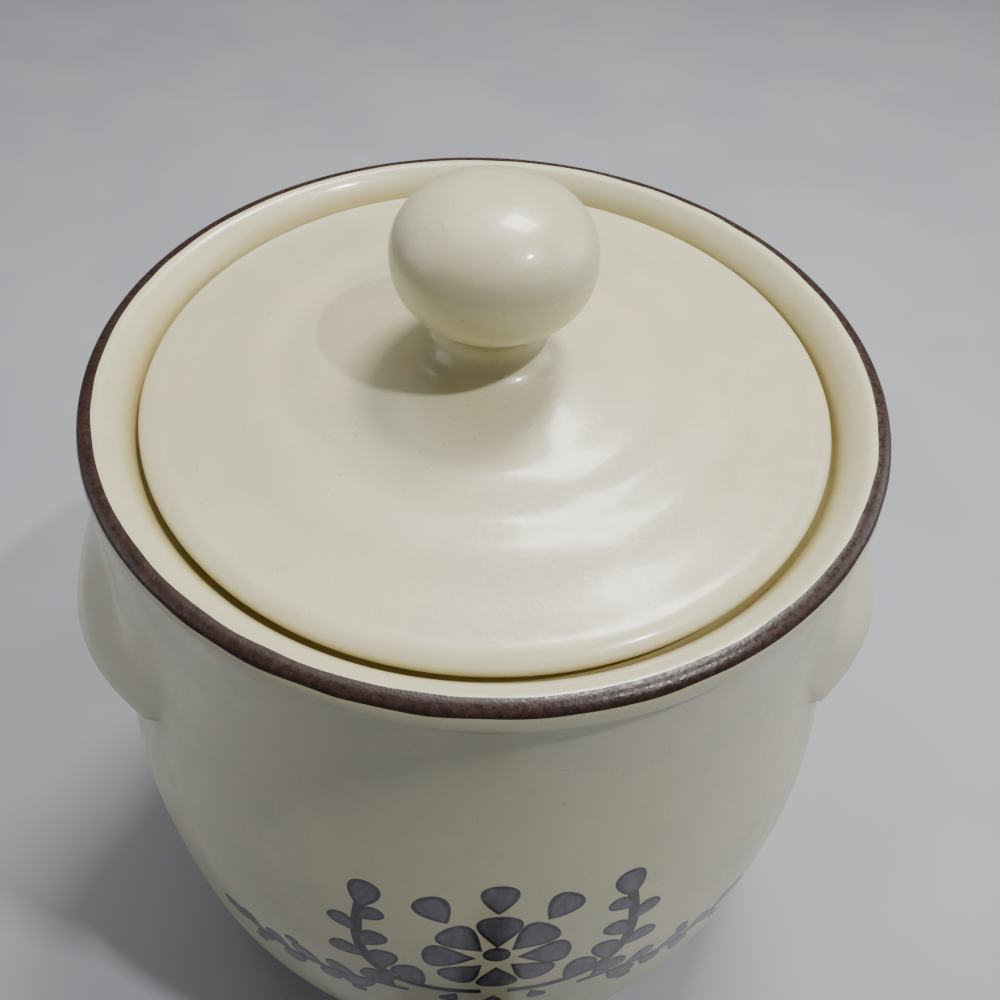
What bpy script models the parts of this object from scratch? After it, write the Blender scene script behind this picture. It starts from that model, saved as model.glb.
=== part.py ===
"""Stoneware beverage dispenser crock with a recessed lift-off lid and a self-closing lever tap.

Units are metres, +Z is up. The origin is the centre of the flat base, and the tap points to -Y.
A height called "over the base" is a world Z. The crock's lugs lie on the X axis.
"""
import math

import bmesh
import bpy
from mathutils import Matrix, Vector

# Clearance between pieces that touch on the real object
GAP = 0.0003

# How far a cutter or a joining stub reaches past the surface that it meets
PAST = 0.001

# Small broken edges on moulded and turned pieces
CHAMFER = 0.0005
CHAMFER_LARGE = 0.0010

# Facets round a circle, by the size of the piece
CROCK_SEGMENTS = 52
BOSS_SEGMENTS = 40
TAP_SEGMENTS = 28
SMALL_SEGMENTS = 18

# Crock: outer shape
RIM_HEIGHT = 0.255
RIM_RADIUS = 0.110
RIM_CREST = 0.0012
RIM_CREST_WIDTH = 0.0048
RIM_SHOULDER = 0.0007
RIM_ROUND = 0.0029
RIM_INNER_DROP = 0.0003
LIP_OVERHANG = 0.0008
LIP_DEPTH = 0.0072
LIP_ROUND = 0.0010
LIP_CREASE = 0.0006
NECK_RADIUS = 0.1088
SHOULDER_DROP = 0.022
BELLY_RADIUS = 0.1264
BELLY_HEIGHT = 0.110
BELLY_FULLNESS = 3.0
HEEL_RADIUS = 0.070
FOOT_HEIGHT = 0.004
FOOT_ROUND = 0.0015
FOOT_TUCK = 0.0024

# Crock: inside
WALL = 0.0075
FLOOR = 0.010
FLOOR_FILLET = 0.014
GALLERY_RADIUS = 0.098
LEDGE_WIDTH = 0.010
GALLERY_DEPTH = 0.0105
GALLERY_FILLET = 0.0016
FUNNEL_WIDTH = 0.005
FUNNEL_BEND = 0.45
FUNNEL_BEND_HEIGHT = 0.60
LEDGE_THICKNESS = 0.0065
LEDGE_SLOPE = 0.016

# Lugs: two ears under the lip with a thumb dish near each end
LUG_HALF_ANGLE = math.radians(46.0)
LUG_REACH = 0.0157
LUG_SINK = 0.0004
LUG_FADE_POWER = 1.76
LUG_FADE_SHARPNESS = 1.73
LUG_EDGE_DROP = 0.0749
LUG_END_DROOP = 0.005
LUG_STRAIGHTNESS = 0.4
LUG_TIP_ROUND = 0.0047
LUG_TIP_SHARE = 0.45
LUG_TIP_DROP = 0.3
LUG_UNDER_SHARE = 0.12
LUG_FOOT_LENGTH = 0.017
LUG_GRIP = 0.0035
LUG_TOP_GAP = 0.002
LUG_STATIONS = 20
DISH_DEPTH = 0.0030
DISH_ANGLE = math.radians(20.0)
DISH_HALF_ANGLE = math.radians(11.0)
DISH_PLACE = 0.60
DISH_HALF_LENGTH = 0.32

# Lid
LID_CLEARANCE = 0.0018
LID_EDGE = 0.0066
LID_ROLL = 0.0031
LID_THICKNESS = 0.0070
LID_RISE = 0.0118
LID_RING_WAVE = 0.00045
LID_RING_MIDDLE = 0.057
LID_RING_PITCH = 0.023
LID_SEAT_WIDTH = 0.010
LID_SEAT_STEP = 0.003
KNOB_HEIGHT = 0.0355
KNOB_RADIUS = 0.0267
KNOB_HALF_HEIGHT = 0.0184
KNOB_SQUARENESS = 2.25
KNOB_NECK = 0.0140
KNOB_FILLET = 0.0085
KNOB_FILLET_HEIGHT = 0.0064
LID_DIMPLE_RADIUS = 0.010
LID_DIMPLE_DEPTH = 0.004

# Tap: place in the crock
TAP_HEIGHT = 0.046
BOSS_RADIUS = 0.021
BOSS_DRAFT = 0.006
BOSS_STANDOUT = 0.0008
BOSS_DEPTH = 0.030
TAP_WALL = 0.0138
LAND_RADIUS = 0.0205
LAND_DEPTH = 0.020
HOLE_CLEARANCE = 0.0012

# Tap: shank and what clamps it
SHANK_RADIUS = 0.010
SHANK_BORE = 0.005
SHANK_TAIL = 0.0055
SHANK_FIT = 0.0004
FLANGE_RADIUS = 0.017
FLANGE_THICKNESS = 0.003
WASHER_RADIUS = 0.0175
OUTER_WASHER_THICKNESS = 0.0022
INNER_WASHER_THICKNESS = 0.0022
SLIP_WASHER_RADIUS = 0.0170
SLIP_WASHER_THICKNESS = 0.0013
NUT_ACROSS_FLATS = 0.0320
NUT_THICKNESS = 0.0080
NUT_COLLAR = 0.0165
NUT_COLLAR_THICKNESS = 0.0015
NUT_ROUNDED_FROM = 0.0048
TAP_ARM_RADIUS = 0.0105

# Tap: barrel, seat and nozzle
BARREL_REACH = 0.031
BARREL_RADIUS = 0.0135
BARREL_BELOW = 0.015
BARREL_NECK_STEP = 0.0006
BARREL_NECK_LENGTH = 0.0075
BARREL_NECK_WALL = 0.0022
CHAMBER_RADIUS = 0.010
SEAT_TOP_BELOW = 0.0085
SEAT_HEIGHT = 0.004
NOZZLE_BORE = 0.0045
NOZZLE_WALL = 0.0036
NOZZLE_LENGTH = 0.018
NOZZLE_FLARE = 0.0012
NOZZLE_FLARE_HEIGHT = 0.004
NOZZLE_LIP = 0.0015
BARREL_FOOT_HEIGHT = 0.003
BARREL_FOOT_IN = 0.003
BARREL_FOOT_DROP = 0.0012
NOZZLE_ROOT = 0.0070

# Tap: valve
STROKE = 0.005
CUP_RADIUS = 0.0075
CUP_HEIGHT = 0.0115
CUP_TOP = 0.0027
CUP_WALL = 0.0030
CUP_TIP_RADIUS = 0.0030
STEM_RADIUS = 0.0030
STEM_NECK_RADIUS = 0.0025
STEM_HEAD_THICKNESS = 0.0038
COLLAR_RADIUS = 0.0060
COLLAR_THICKNESS = 0.0020
EYE_RADIUS = 0.0042
EYE_NARROWING = 0.0004
SPRING_RADIUS = 0.0047
SPRING_WIRE = 0.00055
SPRING_TURNS = 6
SPRING_POINTS_A_TURN = 14

# Tap: bonnet and its seals
BONNET_WALL = 0.0026
BONNET_TOP = 0.0070
BONNET_ROUND = 0.0022
GLAND_ROOF = 0.0022
BONNET_FLUTES = 16
BONNET_FLUTE_RADIUS = 0.0016
BONNET_FLUTE_DEPTH = 0.0007
BONNET_FLUTE_TOP_GAP = 0.0030
POCKET_RADIUS = 0.0088
SEAL_SECTION = 0.0010
GLAND_WASHER_RADIUS = 0.0080
GLAND_WASHER_THICKNESS = 0.0010

# Tap: lever
LEVER_TILT = math.radians(50.0)
CAM_BASE = 0.0070
LEVER_WIDTH = 0.0130
LEVER_HEEL = 0.0060
LEVER_THROAT_FRONT = 0.0110
LEVER_THROAT_BACK = 0.0090
LEVER_SPARE_TILT = math.radians(6.0)
LEVER_ARM_DEPTH = 0.0075
LEVER_LENGTH = 0.031
PADDLE_RADIUS = 0.0105
PADDLE_THICKNESS = 0.0068
PADDLE_ROUND = 0.0012
FORK_GAP = 0.0004
FORK_DEPTH = 0.0062
PIN_RADIUS = 0.0015
PIN_HEAD_RADIUS = 0.0026
PIN_HEAD_THICKNESS = 0.0008

# Colours (linear), roughness and metallic value of each material
GLAZE = ("cream_glaze", (0.62, 0.59, 0.45), 0.32, 0.0)
TAP_PLASTIC = ("dark_brown_plastic", (0.045, 0.028, 0.022), 0.30, 0.0)
RUBBER = ("black_rubber", (0.02, 0.02, 0.02), 0.75, 0.0)
SILICONE = ("clear_grey_silicone", (0.55, 0.55, 0.52), 0.45, 0.0)
STEEL = ("stainless_steel", (0.60, 0.60, 0.60), 0.25, 1.0)
NYLON = ("white_nylon", (0.75, 0.74, 0.70), 0.40, 0.0)

# Places worked out from the sizes above
SEAT_LEVEL = RIM_HEIGHT - GALLERY_DEPTH
LIP_LEVEL = RIM_HEIGHT - LIP_DEPTH
MOUTH_RADIUS = GALLERY_RADIUS - LEDGE_WIDTH
LUG_TOP = LIP_LEVEL - LUG_TOP_GAP
LID_BOTTOM = SEAT_LEVEL + GAP
LID_EDGE_TOP = LID_BOTTOM + LID_EDGE
LID_RADIUS = GALLERY_RADIUS - LID_CLEARANCE
AXIS_OUT = Matrix.Rotation(math.radians(90.0), 4, "X")
AXIS_SIDE = Matrix.Rotation(math.radians(90.0), 4, "Y")
SIDE_VIEW = Matrix(((0, 0, 1, 0), (-1, 0, 0, 0), (0, 1, 0, 0), (0, 0, 0, 1)))


def body_radius(z):
    """Outer radius of the crock's wall at a height over the base, below the lip."""
    if z <= BELLY_HEIGHT:
        down = (BELLY_HEIGHT - z) / BELLY_HEIGHT
        share = (1.0 - down ** BELLY_FULLNESS) ** (1.0 / BELLY_FULLNESS)
        return HEEL_RADIUS + (BELLY_RADIUS - HEEL_RADIUS) * share
    top = RIM_HEIGHT - SHOULDER_DROP
    up = min((z - BELLY_HEIGHT) / (top - BELLY_HEIGHT), 1.0)
    return NECK_RADIUS + (BELLY_RADIUS - NECK_RADIUS) * 0.5 * (1.0 + math.cos(math.pi * up))


# The tap's places need the wall's radius
BOSS_FACE = body_radius(TAP_HEIGHT + BOSS_RADIUS) + BOSS_STANDOUT
LAND_FACE = BOSS_FACE - TAP_WALL
OUTER_WASHER_FACE = BOSS_FACE + GAP
FLANGE_FACE = OUTER_WASHER_FACE + OUTER_WASHER_THICKNESS + GAP
INNER_WASHER_FACE = LAND_FACE - GAP
SLIP_WASHER_FACE = INNER_WASHER_FACE - INNER_WASHER_THICKNESS - GAP
NUT_FACE = SLIP_WASHER_FACE - SLIP_WASHER_THICKNESS - GAP
SHANK_END = NUT_FACE - NUT_THICKNESS - SHANK_TAIL
BARREL_OUT = BOSS_FACE + BARREL_REACH
NECK_BOTTOM = TAP_HEIGHT + TAP_ARM_RADIUS + BARREL_NECK_STEP
BARREL_TOP = NECK_BOTTOM + BARREL_NECK_LENGTH
BARREL_BOTTOM = TAP_HEIGHT - BARREL_BELOW
SEAT_TOP = TAP_HEIGHT - SEAT_TOP_BELOW
SEAT_BOTTOM = SEAT_TOP - SEAT_HEIGHT
OUTLET = BARREL_BOTTOM - NOZZLE_LENGTH
BARREL_NECK_RADIUS = CHAMBER_RADIUS + BARREL_NECK_WALL
BONNET_INNER = BARREL_NECK_RADIUS + GAP
BONNET_RADIUS = BONNET_INNER + BONNET_WALL
BONNET_SHOULDER = BARREL_TOP + 2.0 * SEAL_SECTION + 2.0 * GAP
BONNET_LID = BONNET_SHOULDER + BONNET_TOP
GLAND_TOP = BONNET_LID - GLAND_ROOF
GLAND_SHOULDER = GLAND_TOP - 2.0 * SEAL_SECTION - 2.0 * GAP
SEAT_SLOPE = SEAT_HEIGHT / (CHAMBER_RADIUS - NOZZLE_BORE)
CUP_RIM_LEVEL = SEAT_BOTTOM + (CUP_RADIUS - NOZZLE_BORE) * SEAT_SLOPE + GAP * math.hypot(1.0, SEAT_SLOPE)
CUP_TOP_LEVEL = CUP_RIM_LEVEL + CUP_HEIGHT - CUP_WALL
STEM_HEAD_TOP = CUP_TOP_LEVEL - CUP_TOP - GAP
COLLAR_BOTTOM = CUP_TOP_LEVEL + GAP
COLLAR_TOP = COLLAR_BOTTOM + COLLAR_THICKNESS
SPRING_BOTTOM = COLLAR_TOP + GAP
SPRING_TOP = GLAND_SHOULDER - GLAND_WASHER_THICKNESS - 2.0 * GAP
PIN_LEVEL = BONNET_LID + GAP + CAM_BASE
CAM_RATE = STROKE / LEVER_TILT
EYE_WIDTH = 2.0 * STEM_RADIUS - EYE_NARROWING
FORK_SLOT = 2.0 * (STEM_RADIUS + FORK_GAP)


def arc(centre_r, centre_z, radius, start, end, steps):
    """Points on an arc in the (radius, height) plane; angles in degrees from the outward direction."""
    points = []
    for i in range(steps + 1):
        angle = math.radians(start + (end - start) * i / steps)
        points.append((centre_r + radius * math.cos(angle), centre_z + radius * math.sin(angle)))
    return points


def bezier(a, b, c, steps):
    """Points of a quadratic curve from a to c, pulled towards b, without its first point."""
    points = []
    for i in range(1, steps + 1):
        t = i / steps
        points.append(tuple((1 - t) ** 2 * p + 2 * t * (1 - t) * q + t * t * s for p, q, s in zip(a, b, c)))
    return points


def spread(low, high, steps):
    """Evenly spaced values from low to high, both included."""
    return [low + (high - low) * i / steps for i in range(steps + 1)]


def material(spec):
    """The Principled material of a (name, colour, roughness, metallic) tuple, made once."""
    name, colour, roughness, metallic = spec
    found = bpy.data.materials.get(name)
    if found:
        return found
    made = bpy.data.materials.new(name)
    made.use_nodes = True
    shader = made.node_tree.nodes["Principled BSDF"]
    shader.inputs["Base Color"].default_value = (*colour, 1.0)
    shader.inputs["Roughness"].default_value = roughness
    shader.inputs["Metallic"].default_value = metallic
    made.diffuse_color = (*colour, 1.0)
    return made


def collection(name):
    """The scene's collection of that name, made if need be."""
    found = bpy.data.collections.get(name)
    if found is None:
        found = bpy.data.collections.new(name)
        bpy.context.scene.collection.children.link(found)
    return found


def place(name, mesh, spec=None, matrix=None, parent=None):
    """Link a mesh as an object: a piece if it has a material, otherwise a cutter or guide."""
    thing = bpy.data.objects.new(name, mesh)
    if spec is None:
        collection("cutters").objects.link(thing)
        thing.hide_render = True
        thing.display_type = "WIRE"
    else:
        mesh.materials.append(material(spec))
        collection("beverage_dispenser").objects.link(thing)
    if matrix is not None:
        thing.matrix_world = matrix
    if parent is not None:
        thing.parent = parent
    return thing


def turned(name, outline, segments, spec=None, matrix=None, parent=None):
    """A turned solid about its own Z axis from (radius, height) points, outer side from top to bottom."""
    mesh = bpy.data.meshes.new(name)
    build = bmesh.new()
    corners = [build.verts.new((r, 0.0, z)) for r, z in outline]
    closed = outline[0][0] > 0.0
    for a, b in zip(corners, corners[1:] + corners[:1] if closed else corners[1:]):
        build.edges.new((a, b))
    build.to_mesh(mesh)
    build.free()
    thing = place(name, mesh, spec, matrix, parent)
    screw = thing.modifiers.new("turn", "SCREW")
    screw.axis = "Z"
    screw.angle = math.tau
    screw.steps = segments
    screw.render_steps = segments
    screw.use_merge_vertices = True
    screw.merge_threshold = 0.00001
    screw.use_smooth_shade = True
    return thing


def rod(name, radius, length, segments, matrix, spec=None, parent=None, end_radius=None):
    """A cylinder or cone from its matrix's origin along its own +Z."""
    mesh = bpy.data.meshes.new(name)
    build = bmesh.new()
    far = radius if end_radius is None else end_radius
    bmesh.ops.create_cone(build, cap_ends=True, segments=segments, radius1=radius, radius2=far, depth=length)
    bmesh.ops.translate(build, verts=build.verts, vec=(0.0, 0.0, length / 2.0))
    build.to_mesh(mesh)
    build.free()
    mesh.shade_smooth()
    mesh.set_sharp_from_angle(angle=math.radians(40.0))
    return place(name, mesh, spec, matrix, parent)


def extruded(name, outline, width, matrix, spec=None, parent=None):
    """A flat (x, y) outline as a 2D curve, given its width along its own Z and made a mesh."""
    curve = bpy.data.curves.new(name, "CURVE")
    curve.dimensions = "2D"
    curve.fill_mode = "BOTH"
    curve.extrude = width / 2.0
    line = curve.splines.new("POLY")
    line.points.add(len(outline) - 1)
    for point, (x, y) in zip(line.points, outline):
        point.co = (x, y, 0.0, 1.0)
    line.use_cyclic_u = True
    return mesh_of_curve(name, curve, matrix, spec, parent)


def mesh_of_curve(name, curve, matrix, spec=None, parent=None):
    """A curve's evaluated surface with its caps welded, as a mesh object."""
    guide = bpy.data.objects.new(name + "_curve", curve)
    collection("cutters").objects.link(guide)
    bpy.context.view_layer.update()
    shape = guide.evaluated_get(bpy.context.evaluated_depsgraph_get())
    mesh = bpy.data.meshes.new_from_object(shape)
    mesh.name = name
    bpy.data.objects.remove(guide)
    build = bmesh.new()
    build.from_mesh(mesh)
    bmesh.ops.remove_doubles(build, verts=build.verts, dist=0.000001)
    bmesh.ops.recalc_face_normals(build, faces=build.faces)
    build.to_mesh(mesh)
    build.free()
    return place(name, mesh, spec, matrix, parent)


def combine(thing, operation, *others):
    """Give an object one Boolean modifier for each of the others."""
    for other in others:
        step = thing.modifiers.new(operation.lower() + "_" + other.name, "BOOLEAN")
        step.operation = operation
        step.object = other


def round_edges(thing, width, segments=2, angle=35.0):
    """Round an object's edges that are sharper than an angle in degrees."""
    weld = thing.modifiers.new("weld", "WELD")
    weld.merge_threshold = 0.000005
    bevel = thing.modifiers.new("round", "BEVEL")
    bevel.width = width
    bevel.segments = segments
    bevel.limit_method = "ANGLE"
    bevel.angle_limit = math.radians(angle)


def at(out, height, turn=AXIS_OUT):
    """Matrix of a point straight out from the axis at the front, turned as the tap's pieces are."""
    return Matrix.Translation((0.0, -out, height)) @ turn


def crock_outline():
    """The whole wall: from the middle of the inner floor, up, over the rim, down and under the base."""
    inner_low = FLOOR + FLOOR_FILLET
    ledge_foot = SEAT_LEVEL - LEDGE_THICKNESS - LEDGE_SLOPE
    points = [(0.0, FLOOR)]
    corner = (body_radius(FLOOR) - WALL, FLOOR)
    start = (corner[0] - FLOOR_FILLET, FLOOR)
    points.append(start)
    points += bezier(start, corner, (body_radius(inner_low) - WALL, inner_low), 4)
    points += [(body_radius(z) - WALL, z) for z in spread(inner_low, ledge_foot, 8)[1:]]
    points.append((MOUTH_RADIUS, SEAT_LEVEL - LEDGE_THICKNESS))
    points.append((MOUTH_RADIUS, SEAT_LEVEL - GALLERY_FILLET))
    points.append((MOUTH_RADIUS + GALLERY_FILLET, SEAT_LEVEL))
    corner = (GALLERY_RADIUS - GALLERY_FILLET, SEAT_LEVEL + GALLERY_FILLET)
    points += arc(corner[0], corner[1], GALLERY_FILLET, -90.0, -10.0, 3)
    crest = (RIM_RADIUS - RIM_CREST_WIDTH, RIM_HEIGHT + RIM_CREST)
    funnel_top = (GALLERY_RADIUS + FUNNEL_WIDTH, RIM_HEIGHT - RIM_INNER_DROP)
    middle = (GALLERY_RADIUS + FUNNEL_BEND * FUNNEL_WIDTH, SEAT_LEVEL + FUNNEL_BEND_HEIGHT * GALLERY_DEPTH)
    low = (GALLERY_RADIUS, SEAT_LEVEL + 0.5 * FUNNEL_BEND_HEIGHT * GALLERY_DEPTH)
    points += bezier(points[-1], low, middle, 2)
    points.append(funnel_top)
    points += bezier(funnel_top, (funnel_top[0] + 0.5 * (crest[0] - funnel_top[0]), crest[1]), crest, 3)
    outer = RIM_RADIUS + LIP_OVERHANG
    points += arc(outer - RIM_ROUND, RIM_HEIGHT + RIM_SHOULDER - RIM_ROUND, RIM_ROUND, 88.0, 0.0, 5)
    points += arc(outer - LIP_ROUND, LIP_LEVEL + LIP_ROUND, LIP_ROUND, 0.0, -70.0, 2)
    points.append((NECK_RADIUS, LIP_LEVEL - LIP_CREASE))
    shoulder = RIM_HEIGHT - SHOULDER_DROP
    points += [(body_radius(z), z) for z in spread(shoulder, BELLY_HEIGHT, 9)]
    downs = [math.sin(math.radians(a)) ** (2.0 / BELLY_FULLNESS) for a in spread(14.0, 76.0, 7)]
    lower = [BELLY_HEIGHT * (1.0 - down) for down in downs]
    points += [(body_radius(z), z) for z in lower if z > 1.5 * FOOT_HEIGHT]
    foot = body_radius(FOOT_HEIGHT)
    points.append((foot, FOOT_HEIGHT))
    points += arc(foot - FOOT_TUCK, FOOT_ROUND, FOOT_ROUND, 20.0, -90.0, 3)
    points.append((0.0, 0.0))
    return points


def lug_fade(turn):
    """Share of the lug's full reach at an angle from its middle, down to nothing at its ends."""
    share = min(abs(turn) / LUG_HALF_ANGLE, 1.0)
    return (0.5 + 0.5 * math.cos(math.pi * share ** LUG_FADE_POWER)) ** LUG_FADE_SHARPNESS


def lug_edge(turn):
    """Height over the base of the lug's outer edge, which droops towards the ends."""
    share = min(abs(turn) / LUG_HALF_ANGLE, 1.0)
    return RIM_HEIGHT - LUG_EDGE_DROP - LUG_END_DROOP * share * share * (3.0 - 2.0 * share)


def thumb_dish(turn, place_down):
    """Depth of the thumb dish at an angle and at a share of the way from the lug's top to its edge."""
    across = (abs(turn) - DISH_ANGLE) / DISH_HALF_ANGLE
    along = (place_down - DISH_PLACE) / DISH_HALF_LENGTH
    away = across * across + along * along
    return DISH_DEPTH * (1.0 - away) ** 2 if away < 1.0 else 0.0


def lug_section(turn):
    """The lug's outer side at an angle from its middle, as (radius, height) from top to foot."""
    reach = LUG_REACH * lug_fade(turn)
    edge = lug_edge(turn)
    points = []
    for down in spread(0.0, 1.0, 7):
        z = LUG_TOP + (edge - LUG_TOP) * down
        ease = LUG_STRAIGHTNESS * down + (1.0 - LUG_STRAIGHTNESS) * down * down * (3.0 - 2.0 * down)
        points.append((body_radius(z) + reach * ease - LUG_SINK - thumb_dish(turn, down), z))
    tip = min(LUG_TIP_ROUND, LUG_TIP_SHARE * reach + LUG_SINK)
    tip_r = body_radius(edge) + reach - LUG_SINK
    points += arc(tip_r - tip, edge - LUG_TIP_DROP * tip, tip, 0.0, -100.0, 4)
    foot = edge - LUG_FOOT_LENGTH
    under = (body_radius(edge) + LUG_UNDER_SHARE * reach, points[-1][1] + LUG_GRIP * reach / LUG_REACH)
    points += bezier(points[-1], under, (body_radius(foot) - 2.0 * LUG_SINK, foot), 4)
    return points


def lug(side):
    """One lug as a closed loft of sections with its inner side inside the wall; side is +1 or -1 along X."""
    mesh = bpy.data.meshes.new("lug_guide")
    build = bmesh.new()
    rings = []
    end = LUG_HALF_ANGLE * 1.03
    for turn in spread(-end, end, LUG_STATIONS):
        outer = lug_section(turn)
        inner = [(body_radius(z) - 0.5 * WALL, z) for z in spread(outer[-1][1], outer[0][1], 5)]
        angle = turn if side > 0 else math.pi + turn
        ring = [build.verts.new((r * math.cos(angle), r * math.sin(angle), z)) for r, z in outer + inner]
        rings.append(ring)
    for a, b in zip(rings, rings[1:]):
        for i in range(len(a)):
            j = (i + 1) % len(a)
            build.faces.new((a[i], a[j], b[j], b[i]))
    build.faces.new(rings[0])
    build.faces.new(rings[-1])
    bmesh.ops.recalc_face_normals(build, faces=build.faces)
    build.to_mesh(mesh)
    build.free()
    return place("lug_guide_right" if side > 0 else "lug_guide_left", mesh)


def make_crock():
    """The crock: turned wall, two lugs, the tap's boss outside and its flat land inside, and the hole."""
    crock = turned("crock", crock_outline(), CROCK_SEGMENTS, GLAZE)
    core_heights = spread(FLOOR, RIM_HEIGHT - SHOULDER_DROP, 10)
    core = [(0.0, core_heights[-1])] + [(body_radius(z) - 0.5 * WALL, z) for z in reversed(core_heights)]
    wall_core = turned("wall_core", core + [(0.0, FLOOR)], CROCK_SEGMENTS)
    boss_spot = at(BOSS_FACE, TAP_HEIGHT) @ Matrix.Rotation(math.pi, 4, "X")
    boss = rod("boss_guide", BOSS_RADIUS, BOSS_DEPTH, BOSS_SEGMENTS, boss_spot,
               end_radius=BOSS_RADIUS + BOSS_DRAFT)
    combine(boss, "DIFFERENCE", wall_core)
    pad = rod("pad_guide", LAND_RADIUS, BOSS_DEPTH, BOSS_SEGMENTS, at(LAND_FACE, TAP_HEIGHT))
    combine(pad, "INTERSECT", wall_core)
    land_spot = at(LAND_FACE - LAND_DEPTH, TAP_HEIGHT)
    land = rod("land_cutter", LAND_RADIUS + CHAMFER, LAND_DEPTH, BOSS_SEGMENTS, land_spot)
    hole_spot = at(LAND_FACE - 0.5 * BOSS_DEPTH, TAP_HEIGHT)
    hole = rod("hole_cutter", SHANK_RADIUS + HOLE_CLEARANCE, 2.0 * BOSS_DEPTH, TAP_SEGMENTS, hole_spot)
    combine(crock, "UNION", lug(1), lug(-1), boss, pad)
    combine(crock, "DIFFERENCE", land, hole)
    return crock


def lid_top(radius):
    """Height over the base of the lid's upper side at a radius outside the knob's fillet."""
    edge = LID_RADIUS - LID_ROLL
    share = (edge - radius) / (edge - KNOB_NECK)
    ring = math.cos(math.tau * (radius - LID_RING_MIDDLE) / LID_RING_PITCH)
    window = max(0.0, 1.0 - abs(radius - LID_RING_MIDDLE) / (1.25 * LID_RING_PITCH))
    return LID_EDGE_TOP + LID_RISE * share ** 1.08 - LID_RING_WAVE * ring * window


def lid_outline():
    """The lid with its knob: from the knob's top down its outside, round the edge and under to the middle."""
    middle = RIM_HEIGHT + KNOB_HEIGHT
    power = 2.0 / KNOB_SQUARENESS
    points = [(0.0, middle + KNOB_HALF_HEIGHT)]
    for angle in spread(90.0, -52.0, 11)[1:]:
        c = math.cos(math.radians(angle))
        s = math.sin(math.radians(angle))
        height = math.copysign(abs(s) ** power, s) * KNOB_HALF_HEIGHT
        points.append((c ** power * KNOB_RADIUS, middle + height))
    last_r, last_z = points[-1]
    skirt = KNOB_NECK + KNOB_FILLET
    neck_z = lid_top(skirt) + KNOB_FILLET_HEIGHT
    points += bezier((last_r, last_z), (KNOB_NECK, last_z), (KNOB_NECK, 0.5 * (last_z + neck_z)), 3)
    points += bezier(points[-1], (KNOB_NECK, lid_top(KNOB_NECK)), (skirt, lid_top(skirt)), 4)
    edge = LID_RADIUS - LID_ROLL
    points += [(r, lid_top(r)) for r in spread(skirt, edge, 13)[1:]]
    points += arc(edge, LID_EDGE_TOP - LID_ROLL, LID_ROLL, 75.0, -45.0, 4)
    points.append((LID_RADIUS - LID_ROLL, LID_BOTTOM))
    inner = LID_RADIUS - LID_SEAT_WIDTH
    points.append((inner, LID_BOTTOM))
    under = spread(inner - LID_SEAT_STEP, skirt, 5)
    points += [(r, max(LID_BOTTOM, lid_top(r) - LID_THICKNESS)) for r in under]
    ceiling = points[-1][1]
    points.append((LID_DIMPLE_RADIUS, ceiling))
    points.append((LID_DIMPLE_RADIUS - LID_DIMPLE_DEPTH, ceiling + LID_DIMPLE_DEPTH))
    points.append((0.0, ceiling + LID_DIMPLE_DEPTH))
    return points


def make_lid():
    """The lid: one fired piece with its knob."""
    return turned("lid", lid_outline(), CROCK_SEGMENTS, GLAZE)


def ring(name, outer, inner, thickness, face, spec):
    """A washer on the shank whose outward face is at a distance out from the axis."""
    outline = [(outer, thickness), (outer, 0.0), (inner, 0.0), (inner, thickness)]
    return turned(name, outline, TAP_SEGMENTS, spec, at(face, TAP_HEIGHT))


def make_clamp():
    """The washers on both sides of the wall and the nut."""
    bore = SHANK_RADIUS + SHANK_FIT
    ring("outer_washer", WASHER_RADIUS, bore, OUTER_WASHER_THICKNESS, OUTER_WASHER_FACE, RUBBER)
    ring("inner_washer", WASHER_RADIUS, bore, INNER_WASHER_THICKNESS,
         INNER_WASHER_FACE - INNER_WASHER_THICKNESS, RUBBER)
    ring("slip_washer", SLIP_WASHER_RADIUS, bore, SLIP_WASHER_THICKNESS,
         SLIP_WASHER_FACE - SLIP_WASHER_THICKNESS, STEEL)
    hexagon = NUT_ACROSS_FLATS / 2.0 / math.cos(math.radians(30.0))
    nut = rod("shank_nut", hexagon, NUT_THICKNESS, 6, at(NUT_FACE - NUT_THICKNESS, TAP_HEIGHT), NYLON)
    collar = rod("nut_collar_guide", NUT_COLLAR, NUT_COLLAR_THICKNESS, TAP_SEGMENTS,
                 at(NUT_FACE - NUT_COLLAR_THICKNESS, TAP_HEIGHT))
    nut_bore = rod("nut_bore_cutter", bore, 2.0 * NUT_THICKNESS, TAP_SEGMENTS,
                   at(NUT_FACE - 1.5 * NUT_THICKNESS, TAP_HEIGHT))
    envelope = nut_rounding(hexagon)
    rounded = turned("nut_rounding_guide", envelope, TAP_SEGMENTS, None, at(NUT_FACE, TAP_HEIGHT))
    combine(nut, "INTERSECT", rounded)
    combine(nut, "UNION", collar)
    combine(nut, "DIFFERENCE", nut_bore)


def nut_rounding(hexagon):
    """Turned envelope that takes the corners off the nut's inner face; its own Z points out of the crock."""
    low = -NUT_THICKNESS - PAST
    return [(0.0, PAST), (hexagon + PAST, PAST), (hexagon + PAST, -NUT_ROUNDED_FROM),
            (NUT_ACROSS_FLATS / 2.0, low), (0.0, low)]


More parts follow.
